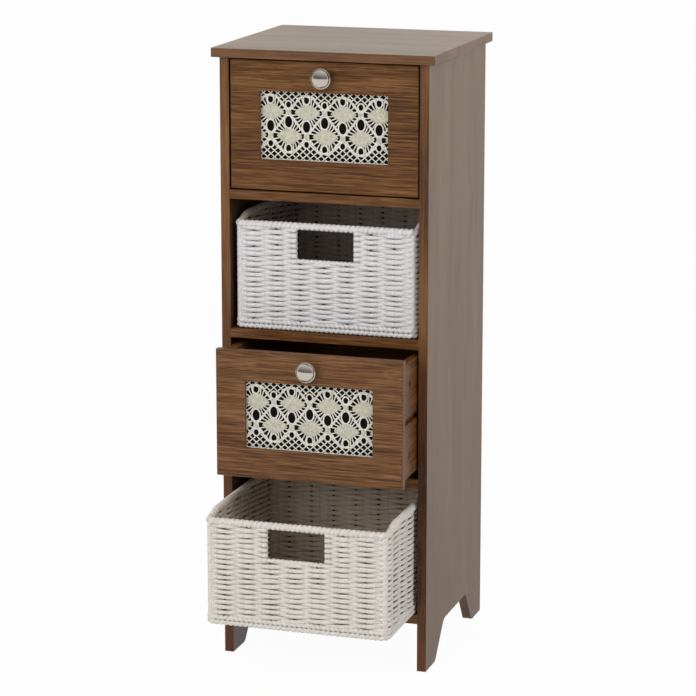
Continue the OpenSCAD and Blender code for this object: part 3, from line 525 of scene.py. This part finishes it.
def rope(work, line, stations, sides, half_deep, half_high, cap=0.0, wrap=None):
    """Adds one rope. line(s) gives, at the length s along it, its centre, its outward and upward
    directions, and the shares of half_deep and half_high that it has there. cap is the length over
    which each end is rounded off. wrap is (pitch, depth) of a strand wound round it."""
    steps = len(stations) - 1
    made = bmesh.ops.create_grid(work, x_segments=steps, y_segments=sides, size=0.5,
                                 calc_uvs=True)
    uv = work.loops.layers.uv.active
    for face in {face for vert in made["verts"] for face in vert.link_faces}:
        face.smooth = True
        for loop in face.loops:
            step = round((loop.vert.co.x + 0.5) * steps)
            loop[uv].uv = (stations[step] / ROPE_UV_LENGTH, loop.vert.co.y + 0.5)
    places = [line(s) for s in stations]
    for vert in made["verts"]:
        step, turn = round((vert.co.x + 0.5) * steps), vert.co.y + 0.5
        s = stations[step]
        centre, out, up, deep, high = places[step]
        size = 1.0
        if wrap:
            pitch, depth = wrap
            strand = abs(sin(pi * (turn + s / pitch)))
            size -= depth * (1 - strand ** STRAND_POWER)
        if cap:
            near = min(s - stations[0], stations[-1] - s, cap) / cap
            size *= sqrt(max(0, 1 - (1 - near) ** 2))
        angle = -2 * pi * turn
        vert.co = (centre + out * (half_deep * deep * size * cos(angle))
                   + up * (half_high * high * size * sin(angle)))


def spaced(start, end, step, cap=0.0):
    """Lengths from start to end about a step apart, closer together where the ends are rounded."""
    low, high = start + cap, end - cap
    count = max(1, round((high - low) / step))
    middle = [low + (high - low) * index / count for index in range(count + 1)]
    if not cap:
        return middle
    ends = [cap * share for share in END_SHARES]
    return ([start] + [start + away for away in ends] + middle
            + [end - away for away in reversed(ends)] + [end])


def new_ropes():
    """An empty bmesh with the ropes' UV layer."""
    work = bmesh.new()
    work.loops.layers.uv.new("rope")
    return work


def closed(work):
    """Joins the ropes' seams and ends, with every face outwards."""
    bmesh.ops.remove_doubles(work, verts=work.verts, dist=MERGED)
    bmesh.ops.recalc_face_normals(work, faces=work.faces)
    return work


# ---------- lace ----------

# Size of the whole sheet, and half of what the window shows of it
LACE_FLAT = (0.198, 0.109)
WINDOW_EDGE = mm(91.6, 47.1)
# The cells: distance between leaves in a row, and heights of the two rows from the window's middle
LEAF_PITCH, UPPER_ROW, LOWER_ROW = mm(52, 18.65, -14.25)
TRELLIS_SLOPE = (UPPER_ROW - LOWER_ROW) / (LEAF_PITCH / 2)
# A leaf: half its width and height, its roundness, how far it stands right of its cell's middle,
# and half its thickness
LEAF_HALF = mm(18.6, 12.0)
LEAF_POWER = 1.28
LEAF_SHIFT = 1.3 * MM
CLOTH_LIFT = 0.6 * MM
# Spokes: their directions from the leaf, where they end, as shares of the trellis and as places on
# an arch, how deep they start in the leaf, and their half width
SPOKE_TURNS = (12, 30, 47, 62)
TRELLIS_SHARES = (0.14, 0.29, 0.44, 0.58)
ARCH_PLACES = mm(22, 17, 12, 7.4)
SPOKE_ROOT, SPOKE_HALF = mm(0.8, 0.9)
# Arches round the cells' outer ends: their rise above a leaf, and the half width and the roundness
# of their top
ARCH_TOP, ARCH_ROUND = mm(22.6, 12)
ARCH_POWER = 3.1
# Plaits: their points, the points in a half turn, how far a strand swings, and its half width
PLAIT_POINTS = 44
PLAIT_HALF_TURN = 6
PLAIT_SWING, PLAIT_HALF = mm(1.12, 1.05)
# How far a crossing thread lies in front of or behind the lace's middle
CROSS_LIFT = 0.25 * MM
# Ovals: distance from the leaf or the row, and half width and height of their thread
BIG_OVAL = mm(19.6, 6.3, 8.8)
SMALL_OVAL = mm(17.3, 4.8, 6.2)
UPPER_JOIN = mm(10.6, 4.5, 5.3)
LOWER_JOIN = mm(11.2, 4.5, 5.3)
OVAL_HALF = 1.15 * MM
OVAL_POINTS = 24
OVAL_LIFT = 0.1 * MM
# Half width and height of the woven patch where trellis strips cross
JOIN_PATCH = mm(4.0, 5.6)
# Mesh ground beyond the arches: its column and row pitch, the height of its outermost crossings,
# its columns to each side, its points' outermost height and spacing in millimetres, and its gap to
# an arch
MESH_COLUMN, MESH_ROW, MESH_START = mm(10.4, 4.5, 44.3)
MESH_COLUMNS = 13
MESH_POINTS = 40
MESH_OUTER_MM = 54
MESH_STEP_MM = 0.9
MESH_GAP, MESH_HALF = mm(0.8, 0.88)
# Hem at the window's lower edge: its height and half width
HEM = mm(-47.7, 1.1)
# A thread: half its thickness, its shortest section, its most sections, the most of it that one end
# may round off, and the distance over which its direction is taken
THREAD_DEEP, THREAD_STEP = mm(0.42, 1.4)
THREAD_SECTIONS = 60
THREAD_CAP = 0.3
THREAD_PROBE = 0.1 * MM


def arch(u):
    """Height of an arch above its leaf's middle, at the distance u beside it."""
    if u > ARCH_ROUND:
        return (LEAF_PITCH / 2 - u) * TRELLIS_SLOPE
    shoulder = (LEAF_PITCH / 2 - ARCH_ROUND) * TRELLIS_SLOPE
    return ARCH_TOP - (ARCH_TOP - shoulder) * (u / ARCH_ROUND) ** ARCH_POWER


def leaf_edge(turn):
    """A leaf's radius in the direction turn."""
    wide, high = LEAF_HALF
    total = (abs(cos(turn)) / wide) ** LEAF_POWER + (abs(sin(turn)) / high) ** LEAF_POWER
    return total ** (-1 / LEAF_POWER)


def leaf_outline(turn):
    radius = leaf_edge(turn)
    return radius * cos(turn), radius * sin(turn)


def join_outline(turn):
    wide, high = JOIN_PATCH
    return wide * cos(turn), high * sin(turn)


class LaceNet:
    """The threads of one lace. Points are (x, z) from the middle of its window, and a lift towards
    the front."""

    def __init__(self, node):
        low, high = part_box(node)
        self.centre = (low + high) / 2
        self.work = new_ropes()
        self.cloth = self.work.verts.layers.float.new("cloth")

    def place(self, point):
        x, z, lift = point
        return self.centre + Vector((x, -lift, z))

    def thread(self, points, half, ring=False):
        """One flat thread along points, with rounded ends or closed into a ring."""
        lengths = [0.0]
        for first, second in zip(points, points[1:]):
            lengths.append(lengths[-1] + (second - first).length)
        total = lengths[-1]

        def at(s):
            s = s % total if ring else min(max(s, 0), total)
            index = bisect_left(lengths, s, 1, len(lengths) - 1)
            share = (s - lengths[index - 1]) / (lengths[index] - lengths[index - 1])
            return points[index - 1].lerp(points[index], share)

        def line(s):
            way = at(s + THREAD_PROBE) - at(s - THREAD_PROBE)
            way.z = 0
            way.normalize()
            return self.place(at(s)), FRONT, Vector((-way.y, 0, way.x)), 1, 1

        cap = 0.0 if ring else min(half, total * THREAD_CAP)
        stations = spaced(0, total, max(THREAD_STEP, total / THREAD_SECTIONS), cap)
        rope(self.work, line, stations, 6, THREAD_DEEP, half, cap)

    def straight(self, start, end, half):
        self.thread([Vector((*start, 0)), Vector((*end, 0))], half)

    def oval(self, x, z, wide, high):
        points = []
        for index in range(OVAL_POINTS + 1):
            turn = index * pi / (OVAL_POINTS / 2)
            points.append(Vector((x + wide * cos(turn), z + high * sin(turn), OVAL_LIFT)))
        self.thread(points, OVAL_HALF, ring=True)

    def braid(self, path):
        """Two strands that cross over each other along path, a function of a share from 0 to 1."""
        probe = 0.01
        for way in (1, -1):
            points = []
            for index in range(PLAIT_POINTS + 1):
                share = index / PLAIT_POINTS
                here, ahead = Vector(path(share)), Vector(path(min(1, share + probe)))
                along = (ahead - Vector(path(max(0, share - probe)))).normalized()
                turn = pi * share * PLAIT_POINTS / PLAIT_HALF_TURN
                side = way * PLAIT_SWING * cos(turn)
                points.append(Vector((here.x - along.y * side, here.y + along.x * side,
                                      way * CROSS_LIFT * sin(turn))))
            self.thread(points, PLAIT_HALF)

    def patch(self, x, z, outline):
        """A closely woven patch. outline(turn) gives its edge from its middle, as x and z."""
        made = bmesh.ops.create_uvsphere(self.work, u_segments=36, v_segments=8, radius=1)
        for vert in made["verts"]:
            reach, turn = hypot(vert.co.x, vert.co.y), atan2(vert.co.y, vert.co.x)
            vert[self.cloth] = 1.0
            wide, high = outline(turn)
            lift = copysign(abs(vert.co.z) ** 0.6, vert.co.z) * CLOTH_LIFT
            vert.co = self.place((x + wide * reach, z + high * reach, lift))
        for face in {face for vert in made["verts"] for face in vert.link_faces}:
            face.smooth = True

    def cell(self, x, z, tall):
        """A leaf's spokes and ovals. tall is 1 where its big oval is above it, and -1 below."""
        for side in (-1, 1):
            for index, degrees in enumerate(SPOKE_TURNS):
                turn = radians(degrees)
                reach = leaf_edge(turn) - SPOKE_ROOT
                start = (x + LEAF_SHIFT + side * reach * cos(turn), reach * sin(turn))
                share = TRELLIS_SHARES[index]
                inner = (LEAF_PITCH / 2 * (1 - share), LEAF_PITCH / 2 * share * TRELLIS_SLOPE)
                outer = (ARCH_PLACES[index], arch(ARCH_PLACES[index]))
                for (far_x, far_z), way in ((inner, tall), (outer, -tall)):
                    self.straight((start[0], z + way * start[1]),
                                  (x + side * far_x, z + way * far_z), SPOKE_HALF)
        for (away, wide, high), way in ((BIG_OVAL, tall), (SMALL_OVAL, -tall)):
            self.oval(x, z + way * away, wide, high)

        def over(share):
            u = (2 * share - 1) * LEAF_PITCH / 2
            return x + u, z - tall * arch(abs(u))

        self.braid(over)

    def mesh_ground(self, rows_z, way, leaf_x, join):
        """Crossing threads from the sheet's edge to the arches. rows_z is the next row of leaves,
        leaf_x the place of one of them, join the ovals between them, and way 1 above, -1 below."""
        away, wide, high = join
        slope = 2 * MESH_ROW / MESH_COLUMN
        first = MESH_COLUMN / 2 if way == 1 else 0.0

        def open_at(x, z):
            u = abs((x - leaf_x + LEAF_PITCH / 2) % LEAF_PITCH - LEAF_PITCH / 2)
            beside = LEAF_PITCH / 2 - u
            oval = hypot(beside / wide, (way * (z - rows_z) - away) / high)
            return way * (z - rows_z) > arch(u) + MESH_GAP and oval > 1

        for column in range(-MESH_COLUMNS, MESH_COLUMNS + 1):
            for lean in (-1, 1):
                run = []
                for step in range(MESH_POINTS):
                    z = way * (MESH_OUTER_MM - MESH_STEP_MM * step) * MM
                    x = first + column * MESH_COLUMN + lean * (z - way * MESH_START) / slope
                    if open_at(x, z):
                        run.append(Vector((x, z, lean * CROSS_LIFT)))
                    if run and (step == MESH_POINTS - 1 or not open_at(x, z)):
                        if len(run) > 2:
                            self.thread(run, MESH_HALF)
                        run = []

    def trimmed(self):
        """The net, cut off at the sheet's edges and closed there."""
        closed(self.work)
        for axis, reach in (((1, 0, 0), LACE_FLAT[0] / 2), ((0, 0, 1), LACE_FLAT[1] / 2)):
            for side in (-1, 1):
                way = Vector(axis) * side
                geom = self.work.verts[:] + self.work.edges[:] + self.work.faces[:]
                bmesh.ops.bisect_plane(self.work, geom=geom, dist=1e-7, clear_outer=True,
                                       plane_co=self.centre + way * reach, plane_no=way)
                rims = [edge for edge in self.work.edges if edge.is_boundary]
                bmesh.ops.holes_fill(self.work, edges=rims, sides=0)
        bmesh.ops.recalc_face_normals(self.work, faces=self.work.faces)
        return self.work


def lace(level):
    """The lace: woven leaves with spokes to a plaited trellis, on a ground of crossing threads. The
    patches come first, because they take longer in a net that is already large."""
    node = level + "_drawer_lace"
    net = LaceNet(node)
    half_pitch = LEAF_PITCH / 2
    columns = [column * LEAF_PITCH for column in range(-2, 3)]
    for x in columns:
        net.patch(x + LEAF_SHIFT, LOWER_ROW, leaf_outline)
        net.patch(x + half_pitch + LEAF_SHIFT, UPPER_ROW, leaf_outline)
        net.patch(x, UPPER_ROW, join_outline)
        net.patch(x + half_pitch, LOWER_ROW, join_outline)
    for x in columns:
        net.cell(x, LOWER_ROW, 1)
        net.cell(x + half_pitch, UPPER_ROW, -1)
        for side in (-1, 1):
            net.braid(lambda share, side=side: (x + side * half_pitch * share,
                                                UPPER_ROW - (UPPER_ROW - LOWER_ROW) * share))
        away, wide, high = UPPER_JOIN
        net.oval(x, UPPER_ROW + away, wide, high)
        away, wide, high = LOWER_JOIN
        net.oval(x + half_pitch, LOWER_ROW - away, wide, high)
    net.mesh_ground(UPPER_ROW, 1, half_pitch, UPPER_JOIN)
    net.mesh_ground(LOWER_ROW, -1, 0.0, LOWER_JOIN)
    across, down = LACE_FLAT[0] / 2, LACE_FLAT[1] / 2
    net.straight((-across, HEM[0]), (across, HEM[0]), HEM[1])
    # The closely woven edge that the drawer front hides
    edge_x, edge_z = WINDOW_EDGE
    for side in (-1, 1):
        half = (across - edge_x) / 2
        net.straight((side * (edge_x + half), -down), (side * (edge_x + half), down), half)
        half = (down - edge_z) / 2
        net.straight((-across, side * (edge_z + half)), (across, side * (edge_z + half)), half)
    made = piece(level + "_lace_net", net.trimmed(), "cotton_lace", level + "_drawer", [node],
                 "cotton_lace")


# ---------- drawers ----------

def lathe(profile, centre, steps=72):
    """A body turned about an axis along Y: profile lists (radius, distance towards the front)."""
    work = bmesh.new()
    points = [work.verts.new(centre + Vector((radius, -out, 0))) for radius, out in profile]
    for first, second in zip(points, points[1:]):
        work.edges.new((first, second))
    bmesh.ops.spin(work, geom=work.verts[:] + work.edges[:], cent=centre, axis=(0, 1, 0),
                   angle=2 * pi, steps=steps, use_merge=True)
    closed(work)
    for face in work.faces:
        face.smooth = True
    return work


# The knob's profile in millimetres: radius beside that of its foot, neck or head, and distance from
# the drawer front
KNOB_FOOT, KNOB_NECK = 7.5 * MM, 5.3 * MM
KNOB_FOOT_PROFILE = ((0, 0), (0, 1.0), (-0.5, 1.8))
KNOB_NECK_PROFILE = ((0.6, 3.0), (0, 4.6), (0.2, 6.2), (1.6, 7.8))
KNOB_HEAD_PROFILE = ((-3.0, 9.3), (-0.8, 10.2), (-0.1, 10.8), (0, 11.6), (-0.2, 12.4),
                     (-0.8, 12.9), (-1.3, 12.8))
# The dome inside the head's rim: its narrower radius, its start, and its steps
DOME_INSET = 1.3 * MM
DOME_START = 12.9 * MM
DOME_STEPS = 12


def knob(level):
    """A domed knob on a waisted neck, with a small foot against the drawer front."""
    body = level + "_drawer"
    low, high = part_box(body + "_knob")
    head = (high.x - low.x) / 2
    centre = Vector(((low.x + high.x) / 2, high.y, (low.z + high.z) / 2))
    profile = [(0, 0)]
    for radius, part in ((KNOB_FOOT, KNOB_FOOT_PROFILE), (KNOB_NECK, KNOB_NECK_PROFILE),
                         (head, KNOB_HEAD_PROFILE)):
        profile += [(radius + beside * MM, out * MM) for beside, out in part]
    rise = high.y - low.y - DOME_START
    for step in range(1, DOME_STEPS + 1):
        turn = step / DOME_STEPS * pi / 2
        profile.append(((head - DOME_INSET) * cos(turn), DOME_START + rise * sin(turn)))
    piece(body + "_knob_turned", lathe(profile, centre), "satin_nickel", body, [body + "_knob"],
          "satin_nickel")


def drawer(level):
    """A drawer's box and front, its fittings, its knob and its lace."""
    body = level + "_drawer"
    board(body + "_front", f"walnut_{level}_front", body)
    for part in ("_left_side", "_right_side"):
        board(body + part, "walnut_box", body)
    board(body + "_back", "walnut_box_back", body)
    clothe(body + "_bottom", "dark_hardboard")
    clothe(body + "_lace_backing", "black_backing")
    for fitting in ("_backing_screws", "_cam_bolts", "_back_screws", "_knob_screw"):
        clothe(body + fitting, "zinc_hardware")
    clothe(body + "_cam_locks", "browned_cams")
    knob(level)
    lace(level)


for level in ("upper", "lower"):
    drawer(level)


# ---------- baskets ----------

# A rope's half size is its half depth through the wall and its half height or width.
# Stakes: their spacing, the first one's place from the front's middle, half size, and foot
STAKE_PITCH, STAKE_SHIFT = mm(34, -3)
STAKE_HALF = mm(2.1, 2.3)
STAKE_FOOT = 3 * MM
# The rope on the hand hole's wires and the rope in each corner, which leans out
WIRE_ROPE_HALF = mm(1.75, 1.9)
POST_HALF = mm(3.4, 4.8)
POST_LEAN = 0.6 * MM
# How far the stakes and the corner ropes reach up into the rim
STAKE_INTO_RIM, POST_INTO_RIM = mm(2, 4)
UPRIGHT_STEP = 12 * MM
# Wefts: their row pitch, their half size, how far they swing round the stakes, and their sections
ROW_PITCH = 3.65 * MM
WEFT_HALF = mm(2.1, 3.1)
BULGE = 2.7 * MM
SWING_POWER = 1.15
WEFT_STEP = 3.4 * MM
# A weft's height as shares of its half size: between stakes, added over a stake, and uneven
FLAT_SHARE, OVER_SHARE, OVER_POWER = 0.66, 0.34, 0.4
SWELL_HIGH, SWELL_DEEP = 0.32, 0.08
WEFT_DRIFT = 1.15 * MM
# The hand hole: its lower edge, the ends of the wefts beside it, and their curl round its wires
HOLE_LOW, HOLE_STAKE = mm(103, 44)
HOLE_CURL, HOLE_CAP = mm(3.2, 1.6)
# The hand hole's upright wires, and how the wefts below the hole bow out over them
WIRE_PLACE, WIRE_REACH, WIRE_COVER, WIRE_ROPE_BELOW = mm(47, 12, 1.7, 4)
# The base: its ropes' spacing, half size, ends, sections, height and weave
BASE_PITCH = 6.4 * MM
BASE_HALF = mm(2.1, 3.3)
BASE_END, BASE_INSET, BASE_STEP = mm(2, 1, 4.6)
BASE_HEIGHT, BASE_CROSS, BASE_SWING = mm(3.4, 17, 0.9)
# Wound borders: half sizes of the rim, of the two at the foot (name, height, way of winding) and of
# the one under the hole, and their strands' pitch and depth
RIM_ROPE = mm(5.4, 5.5)
RIM_MIDDLE = 4.0 * MM
FOOT_ROPE = mm(4.8, 4.0)
FOOT_BORDERS = (("_foot_border", 4.4 * MM, 1), ("_plait", 11.2 * MM, -1))
HOLE_ROPE = mm(4.0, 3.4)
STRAND_PITCH = 7.0 * MM
RIM_STRAND_DEPTH, FOOT_STRAND_DEPTH = 0.4, 0.42
HOLE_STRAND = (6.2 * MM, 0.4)
TURN_SECTIONS = 6
BORDER_TOP = 14 * MM
# How far a base or border rope wanders, and the share by which a border's size changes
ROPE_DRIFT = 0.3 * MM
BORDER_SWELL = 0.04


class BasketWalls:
    """The middle line of a basket's walls: s runs once round it, from the middle of the front."""

    # How far the rim climbs behind the front, between which depths, the walls' thickness, and the
    # radius of their middle line at the corners
    RIM_RISE = 6.5 * MM
    RAMP = mm(12, 42)
    WALL = 7 * MM
    CORNER = 8.5 * MM

    def __init__(self, level):
        self.body = level + "_basket"
        self.low, self.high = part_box(self.body + "_weave")
        self.half = (self.high.x - self.low.x - self.WALL) / 2
        self.front = self.low.y + self.WALL / 2
        self.back = self.high.y - self.WALL / 2
        self.front_top = self.high.z - self.RIM_RISE - self.low.z
        quarter = pi / 2 * self.CORNER
        straight = self.half - self.CORNER
        deep = self.back - self.front - 2 * self.CORNER
        self.legs = [straight, quarter, deep, quarter, 2 * straight, quarter, deep, quarter,
                     straight]
        self.length = sum(self.legs)
        self.stakes = 2 * round(self.length / STAKE_PITCH / 2)
        self.spacing = self.length / self.stakes

    def at(self, s):
        """(x, y, outward direction) at the length s along the walls."""
        s %= self.length
        side, near, far = self.half - self.CORNER, self.front + self.CORNER, self.back - self.CORNER
        # Each straight's start and heading, and each corner's centre and first direction
        starts = [((0, self.front), 0), ((side, near), -90), ((self.half, near), 90),
                  ((side, far), 0), ((side, self.back), 180), ((-side, far), 90),
                  ((-self.half, far), 270), ((-side, near), 180), ((-side, self.front), 0)]
        for index, leg in enumerate(self.legs):
            if s <= leg or index == len(self.legs) - 1:
                break
            s -= leg
        (x, y), degrees = starts[index]
        angle = radians(degrees)
        if index % 2:
            angle += s / self.CORNER
            out = Vector((cos(angle), sin(angle), 0))
            return x + self.CORNER * out.x, y + self.CORNER * out.y, out
        return (x + s * cos(angle), y + s * sin(angle),
                Vector((sin(angle), -cos(angle), 0)))

    def rise(self, y):
        """How far the rim stands above its height at the front."""
        low, high = self.RAMP
        share = min(1, max(0, (y - self.low.y - low) / (high - low)))
        return self.RIM_RISE * share * share * (3 - 2 * share)

    def stake_count(self, s, beside_hole):
        """The length s counted in stakes. Beside the hand hole two stand at its edges."""
        away = (s - STAKE_SHIFT + self.length / 2) % self.length - self.length / 2
        if not beside_hole or abs(away) > 2 * self.spacing:
            return away / self.spacing
        side = copysign(1, away)
        edge = abs(side * HOLE_STAKE - STAKE_SHIFT)
        return side * (1 + (abs(away) - edge) / (2 * self.spacing - edge))


def weave(walls, seed):
    """The wefts: one rope a row, in front of and behind the stakes by turns."""
    work = new_ropes()
    tall = walls.front_top - BORDER_TOP
    rows = round(tall / ROW_PITCH)
    for row in range(rows):
        height = BORDER_TOP + (row + 0.5) * tall / rows
        beside_hole = height > HOLE_LOW - ROW_PITCH

        def line(s, row=row, height=height, beside_hole=beside_hole):
            x, y, out = walls.at(s)
            swing = cos(pi * (walls.stake_count(s, beside_hole) + row))
            swing = copysign(abs(swing) ** SWING_POWER, swing)
            from_middle = min(s, walls.length - s)
            over_wire = 0.0
            if beside_hole:
                past = max(0, HOLE_STAKE - from_middle) / HOLE_CURL
                swing *= sqrt(max(0, 1 - past * past))
            else:
                away = min(1, abs(from_middle - WIRE_PLACE) / WIRE_REACH)
                over_wire = WIRE_COVER * (1 - away * away) ** 2
            drift = noise.noise(Vector((x * 30, y * 30, row * 3.7 + seed)))
            swell = noise.noise(Vector((x * 60, y * 60, row * 5.1 - seed)))
            z = height + walls.rise(y) * (height - BORDER_TOP) / tall + WEFT_DRIFT * drift
            high = FLAT_SHARE + OVER_SHARE * abs(swing) ** OVER_POWER + SWELL_HIGH * swell
            place = Vector((x, y, walls.low.z + z)) + out * (BULGE * swing + over_wire)
            return place, out, UP, 1 + SWELL_DEEP * swell, high

        start, cap = (HOLE_STAKE - HOLE_CURL, HOLE_CAP) if beside_hole else (0.0, 0.0)
        stations = spaced(start, walls.length - start, WEFT_STEP, cap)
        rope(work, line, stations, 8, *WEFT_HALF, cap)
    return closed(work)


def upright(work, walls, s, bottom, top, half_deep, half_wide, lean=0.0):
    """One upright rope in the wall at the length s. lean is its distance outwards."""
    x, y, out = walls.at(s)
    along = Vector((-out.y, out.x, 0))

    def line(height):
        return Vector((x, y, walls.low.z + height)) + out * lean, out, along, 1, 1

    stations = spaced(bottom, top, UPRIGHT_STEP, half_deep)
    rope(work, line, stations, 8, half_deep, half_wide, half_deep)


def stakes(walls):
    """The upright ropes that the wefts pass. Their rope is darkened as painted shade, so that they
    show only as dark gaps in the weave.
    """
    work = new_ropes()
    for index in range(walls.stakes):
        s = STAKE_SHIFT + index * walls.spacing
        x, y, out = walls.at(s)
        under_hole = abs(x) < HOLE_STAKE and y < walls.front + MM
        top = HOLE_LOW if under_hole else walls.front_top + walls.rise(y) + STAKE_INTO_RIM
        upright(work, walls, s, STAKE_FOOT, top, *STAKE_HALF)
    return closed(work)


def posts(walls):
    """The ropes on the hand hole's upright wires, and a thicker rope in each corner."""
    work = new_ropes()
    for side in (-1, 1):
        upright(work, walls, side * WIRE_PLACE, HOLE_LOW - WIRE_ROPE_BELOW,
                walls.front_top + STAKE_INTO_RIM, *WIRE_ROPE_HALF)
    corner = walls.legs[0] + walls.legs[1] / 2
    across = walls.legs[1] + walls.legs[2]
    for s in (corner, corner + across, -corner, -corner - across):
        x, y, out = walls.at(s)
        top = walls.front_top + walls.rise(y) + POST_INTO_RIM
        upright(work, walls, s, STAKE_FOOT, top, *POST_HALF, lean=POST_LEAN)
    return closed(work)


def basket_floor(walls, seed):
    """The woven base: ropes from side to side that wave by turns, as over and under others."""
    work = new_ropes()
    depth = walls.back - walls.front
    count = round(depth / BASE_PITCH)
    half = walls.half - BASE_INSET
    for row in range(count):
        y = walls.front + (row + 0.5) * depth / count

        def line(x, row=row, y=y):
            swing = BASE_SWING * cos(pi * (x / BASE_CROSS + row))
            drift = ROPE_DRIFT * noise.noise(Vector((x * 60, y * 60, seed)))
            return Vector((x, y + drift, walls.low.z + BASE_HEIGHT + swing)), UP, FRONT, 1, 1

        rope(work, line, spaced(-half, half, BASE_STEP, BASE_END), 6, *BASE_HALF, BASE_END)
    return closed(work)


def ring_rope(walls, height, climb, half, pitch, depth, seed):
    """A wound rope round the whole basket, at a height that may climb with the rim. pitch and depth
    are those of its strand, and a negative pitch winds it the other way."""
    work = new_ropes()
    turns = round(walls.length / abs(pitch))
    exact = copysign(walls.length / turns, pitch)

    def line(s):
        x, y, out = walls.at(s)
        drift = noise.noise(Vector((x * 30, y * 30, seed)))
        z = walls.low.z + height + (walls.rise(y) if climb else 0) + ROPE_DRIFT * drift
        swell = 1 + BORDER_SWELL * drift
        return Vector((x, y, z)), out, UP, swell, swell

    stations = spaced(0, walls.length, walls.length / turns / TURN_SECTIONS)
    rope(work, line, stations, 12, *half, wrap=(exact, depth))
    return closed(work)


def hole_border(walls):
    """The wound edge under the hand hole."""
    work = new_ropes()
    height = walls.low.z + HOLE_LOW - HOLE_ROPE[1]
    reach, step, cap = HOLE_STAKE + 2 * MM, 0.9 * MM, 2.5 * MM

    def line(x):
        return Vector((x, walls.front, height)), FRONT, UP, 1, 1

    rope(work, line, spaced(-reach, reach, step, cap), 12, *HOLE_ROPE, cap, wrap=HOLE_STRAND)
    return closed(work)


def basket(level, seed):
    """A basket: its wire frame, its woven walls and base, and its borders."""
    walls = BasketWalls(level)
    body, finish, slot = walls.body, level + "_paper_rope", "paper_rope"
    clothe(body + "_wire_frame", "zinc_hardware")
    piece(body + "_wefts", weave(walls, seed), finish, body, [body + "_weave"], slot)
    # The stakes take the rope darkened as painted shade.
    piece(body + "_stakes", stakes(walls), "shaded_stake_paper_rope", body, [], slot)
    piece(body + "_posts", posts(walls), finish, body, [], slot)
    piece(body + "_floor", basket_floor(walls, seed), finish, body, [], slot)
    rim = ring_rope(walls, walls.front_top + RIM_MIDDLE, True, RIM_ROPE, STRAND_PITCH,
                    RIM_STRAND_DEPTH, seed)
    piece(body + "_rope_rim", rim, finish, body, [body + "_rim"], slot)
    for name, height, way in FOOT_BORDERS:
        ring = ring_rope(walls, height, False, FOOT_ROPE, way * STRAND_PITCH, FOOT_STRAND_DEPTH,
                         seed + height)
        piece(body + name, ring, finish, body, [], slot)
    piece(body + "_hand_border", hole_border(walls), finish, body, [], slot)


basket("upper", 1.0)
basket("lower", 8.0)


# ---------- floor and light ----------

FLOOR_HALF = 20
# Share of the floor's plain white that the camera sees. The rest is its shadow.
FLOOR_GLOW = 0.965
# Brightness of the world as a light, and of the darkest part of the room that gloss shows
WORLD_LEVEL = 0.5
ROOM_LEVEL = 0.06
# Directions between which that room goes from dark to white, from behind the camera and upwards
ROOM_BACK = (-0.5, 0.1)
ROOM_UP = (0.0, 1.2)
# Lamps: name, place, width in metres and power in watts, and the point that they face
LAMPS = (("front_light", (-1.2, -2.8, 2.2), 2.8, 60), ("side_light", (2.6, -1.0, 1.9), 1.6, 22))
LIT_POINT = Vector((0, 0, 0.45))


def pale_floor():
    """A white floor that shows as white to the camera and keeps the object's soft shadow."""
    work = bmesh.new()
    bmesh.ops.create_grid(work, x_segments=1, y_segments=1, size=FLOOR_HALF)
    floor = in_scene("floor", as_mesh("floor", work))
    finish = Recipe("white_floor")
    glow = finish.node("Emission", {"Color": WHITE, "Strength": 1.0})
    rays = finish.node("LightPath").outputs
    seen = finish.math("MAXIMUM", rays["Is Camera Ray"], rays["Is Glossy Ray"])
    surface = finish.mixed_shader(finish.math("MULTIPLY", seen, FLOOR_GLOW),
                                  finish.shader.outputs[0], glow.outputs[0])
    finish.set(finish.tree.nodes["Material Output"], {"Surface": surface})
    finish.finish(Base_Color=(0.9, 0.9, 0.9, 1), Roughness=0.9)
    floor.data.materials.append(finish.material)


def white_world():
    """White to the camera, a plain soft light on the object, and in its gloss a white room that is
    dim at eye level behind the camera."""
    world = bpy.data.worlds.new("studio")
    world.use_nodes = True
    bpy.context.scene.world = world
    nodes = Nodes(world.node_tree)

    def background(strength):
        return nodes.node("Background", {"Color": WHITE, "Strength": strength}).outputs[0]

    way = nodes.parts(nodes.node("TexCoord").outputs["Generated"])
    room = nodes.math("MAXIMUM", nodes.span(way["Y"], ROOM_LEVEL, 1.0, *ROOM_BACK),
                      nodes.span(way["Z"], ROOM_LEVEL, 1.0, *ROOM_UP))
    rays = nodes.node("LightPath").outputs
    surface = background(WORLD_LEVEL)
    for ray, strength in (("Is Glossy Ray", room), ("Is Transmission Ray", 1.0),
                          ("Is Camera Ray", 1.0)):
        surface = nodes.mixed_shader(rays[ray], surface, background(strength))
    nodes.set(nodes.tree.nodes["World Output"], {"Surface": surface})


def softbox(name, place, size, power):
    """A square lamp that faces the middle of the tower and doesn't show in its gloss."""
    lamp = bpy.data.lights.new(name, "AREA")
    lamp.shape = "SQUARE"
    lamp.size = size
    lamp.energy = power
    made = in_scene(name, lamp)
    made.location = place
    made.rotation_euler = (LIT_POINT - Vector(place)).to_track_quat("-Z", "Y").to_euler()
    made.visible_glossy = False


pale_floor()
white_world()
for lamp in LAMPS:
    softbox(*lamp)
bpy.context.scene.view_settings.view_transform = "Standard"
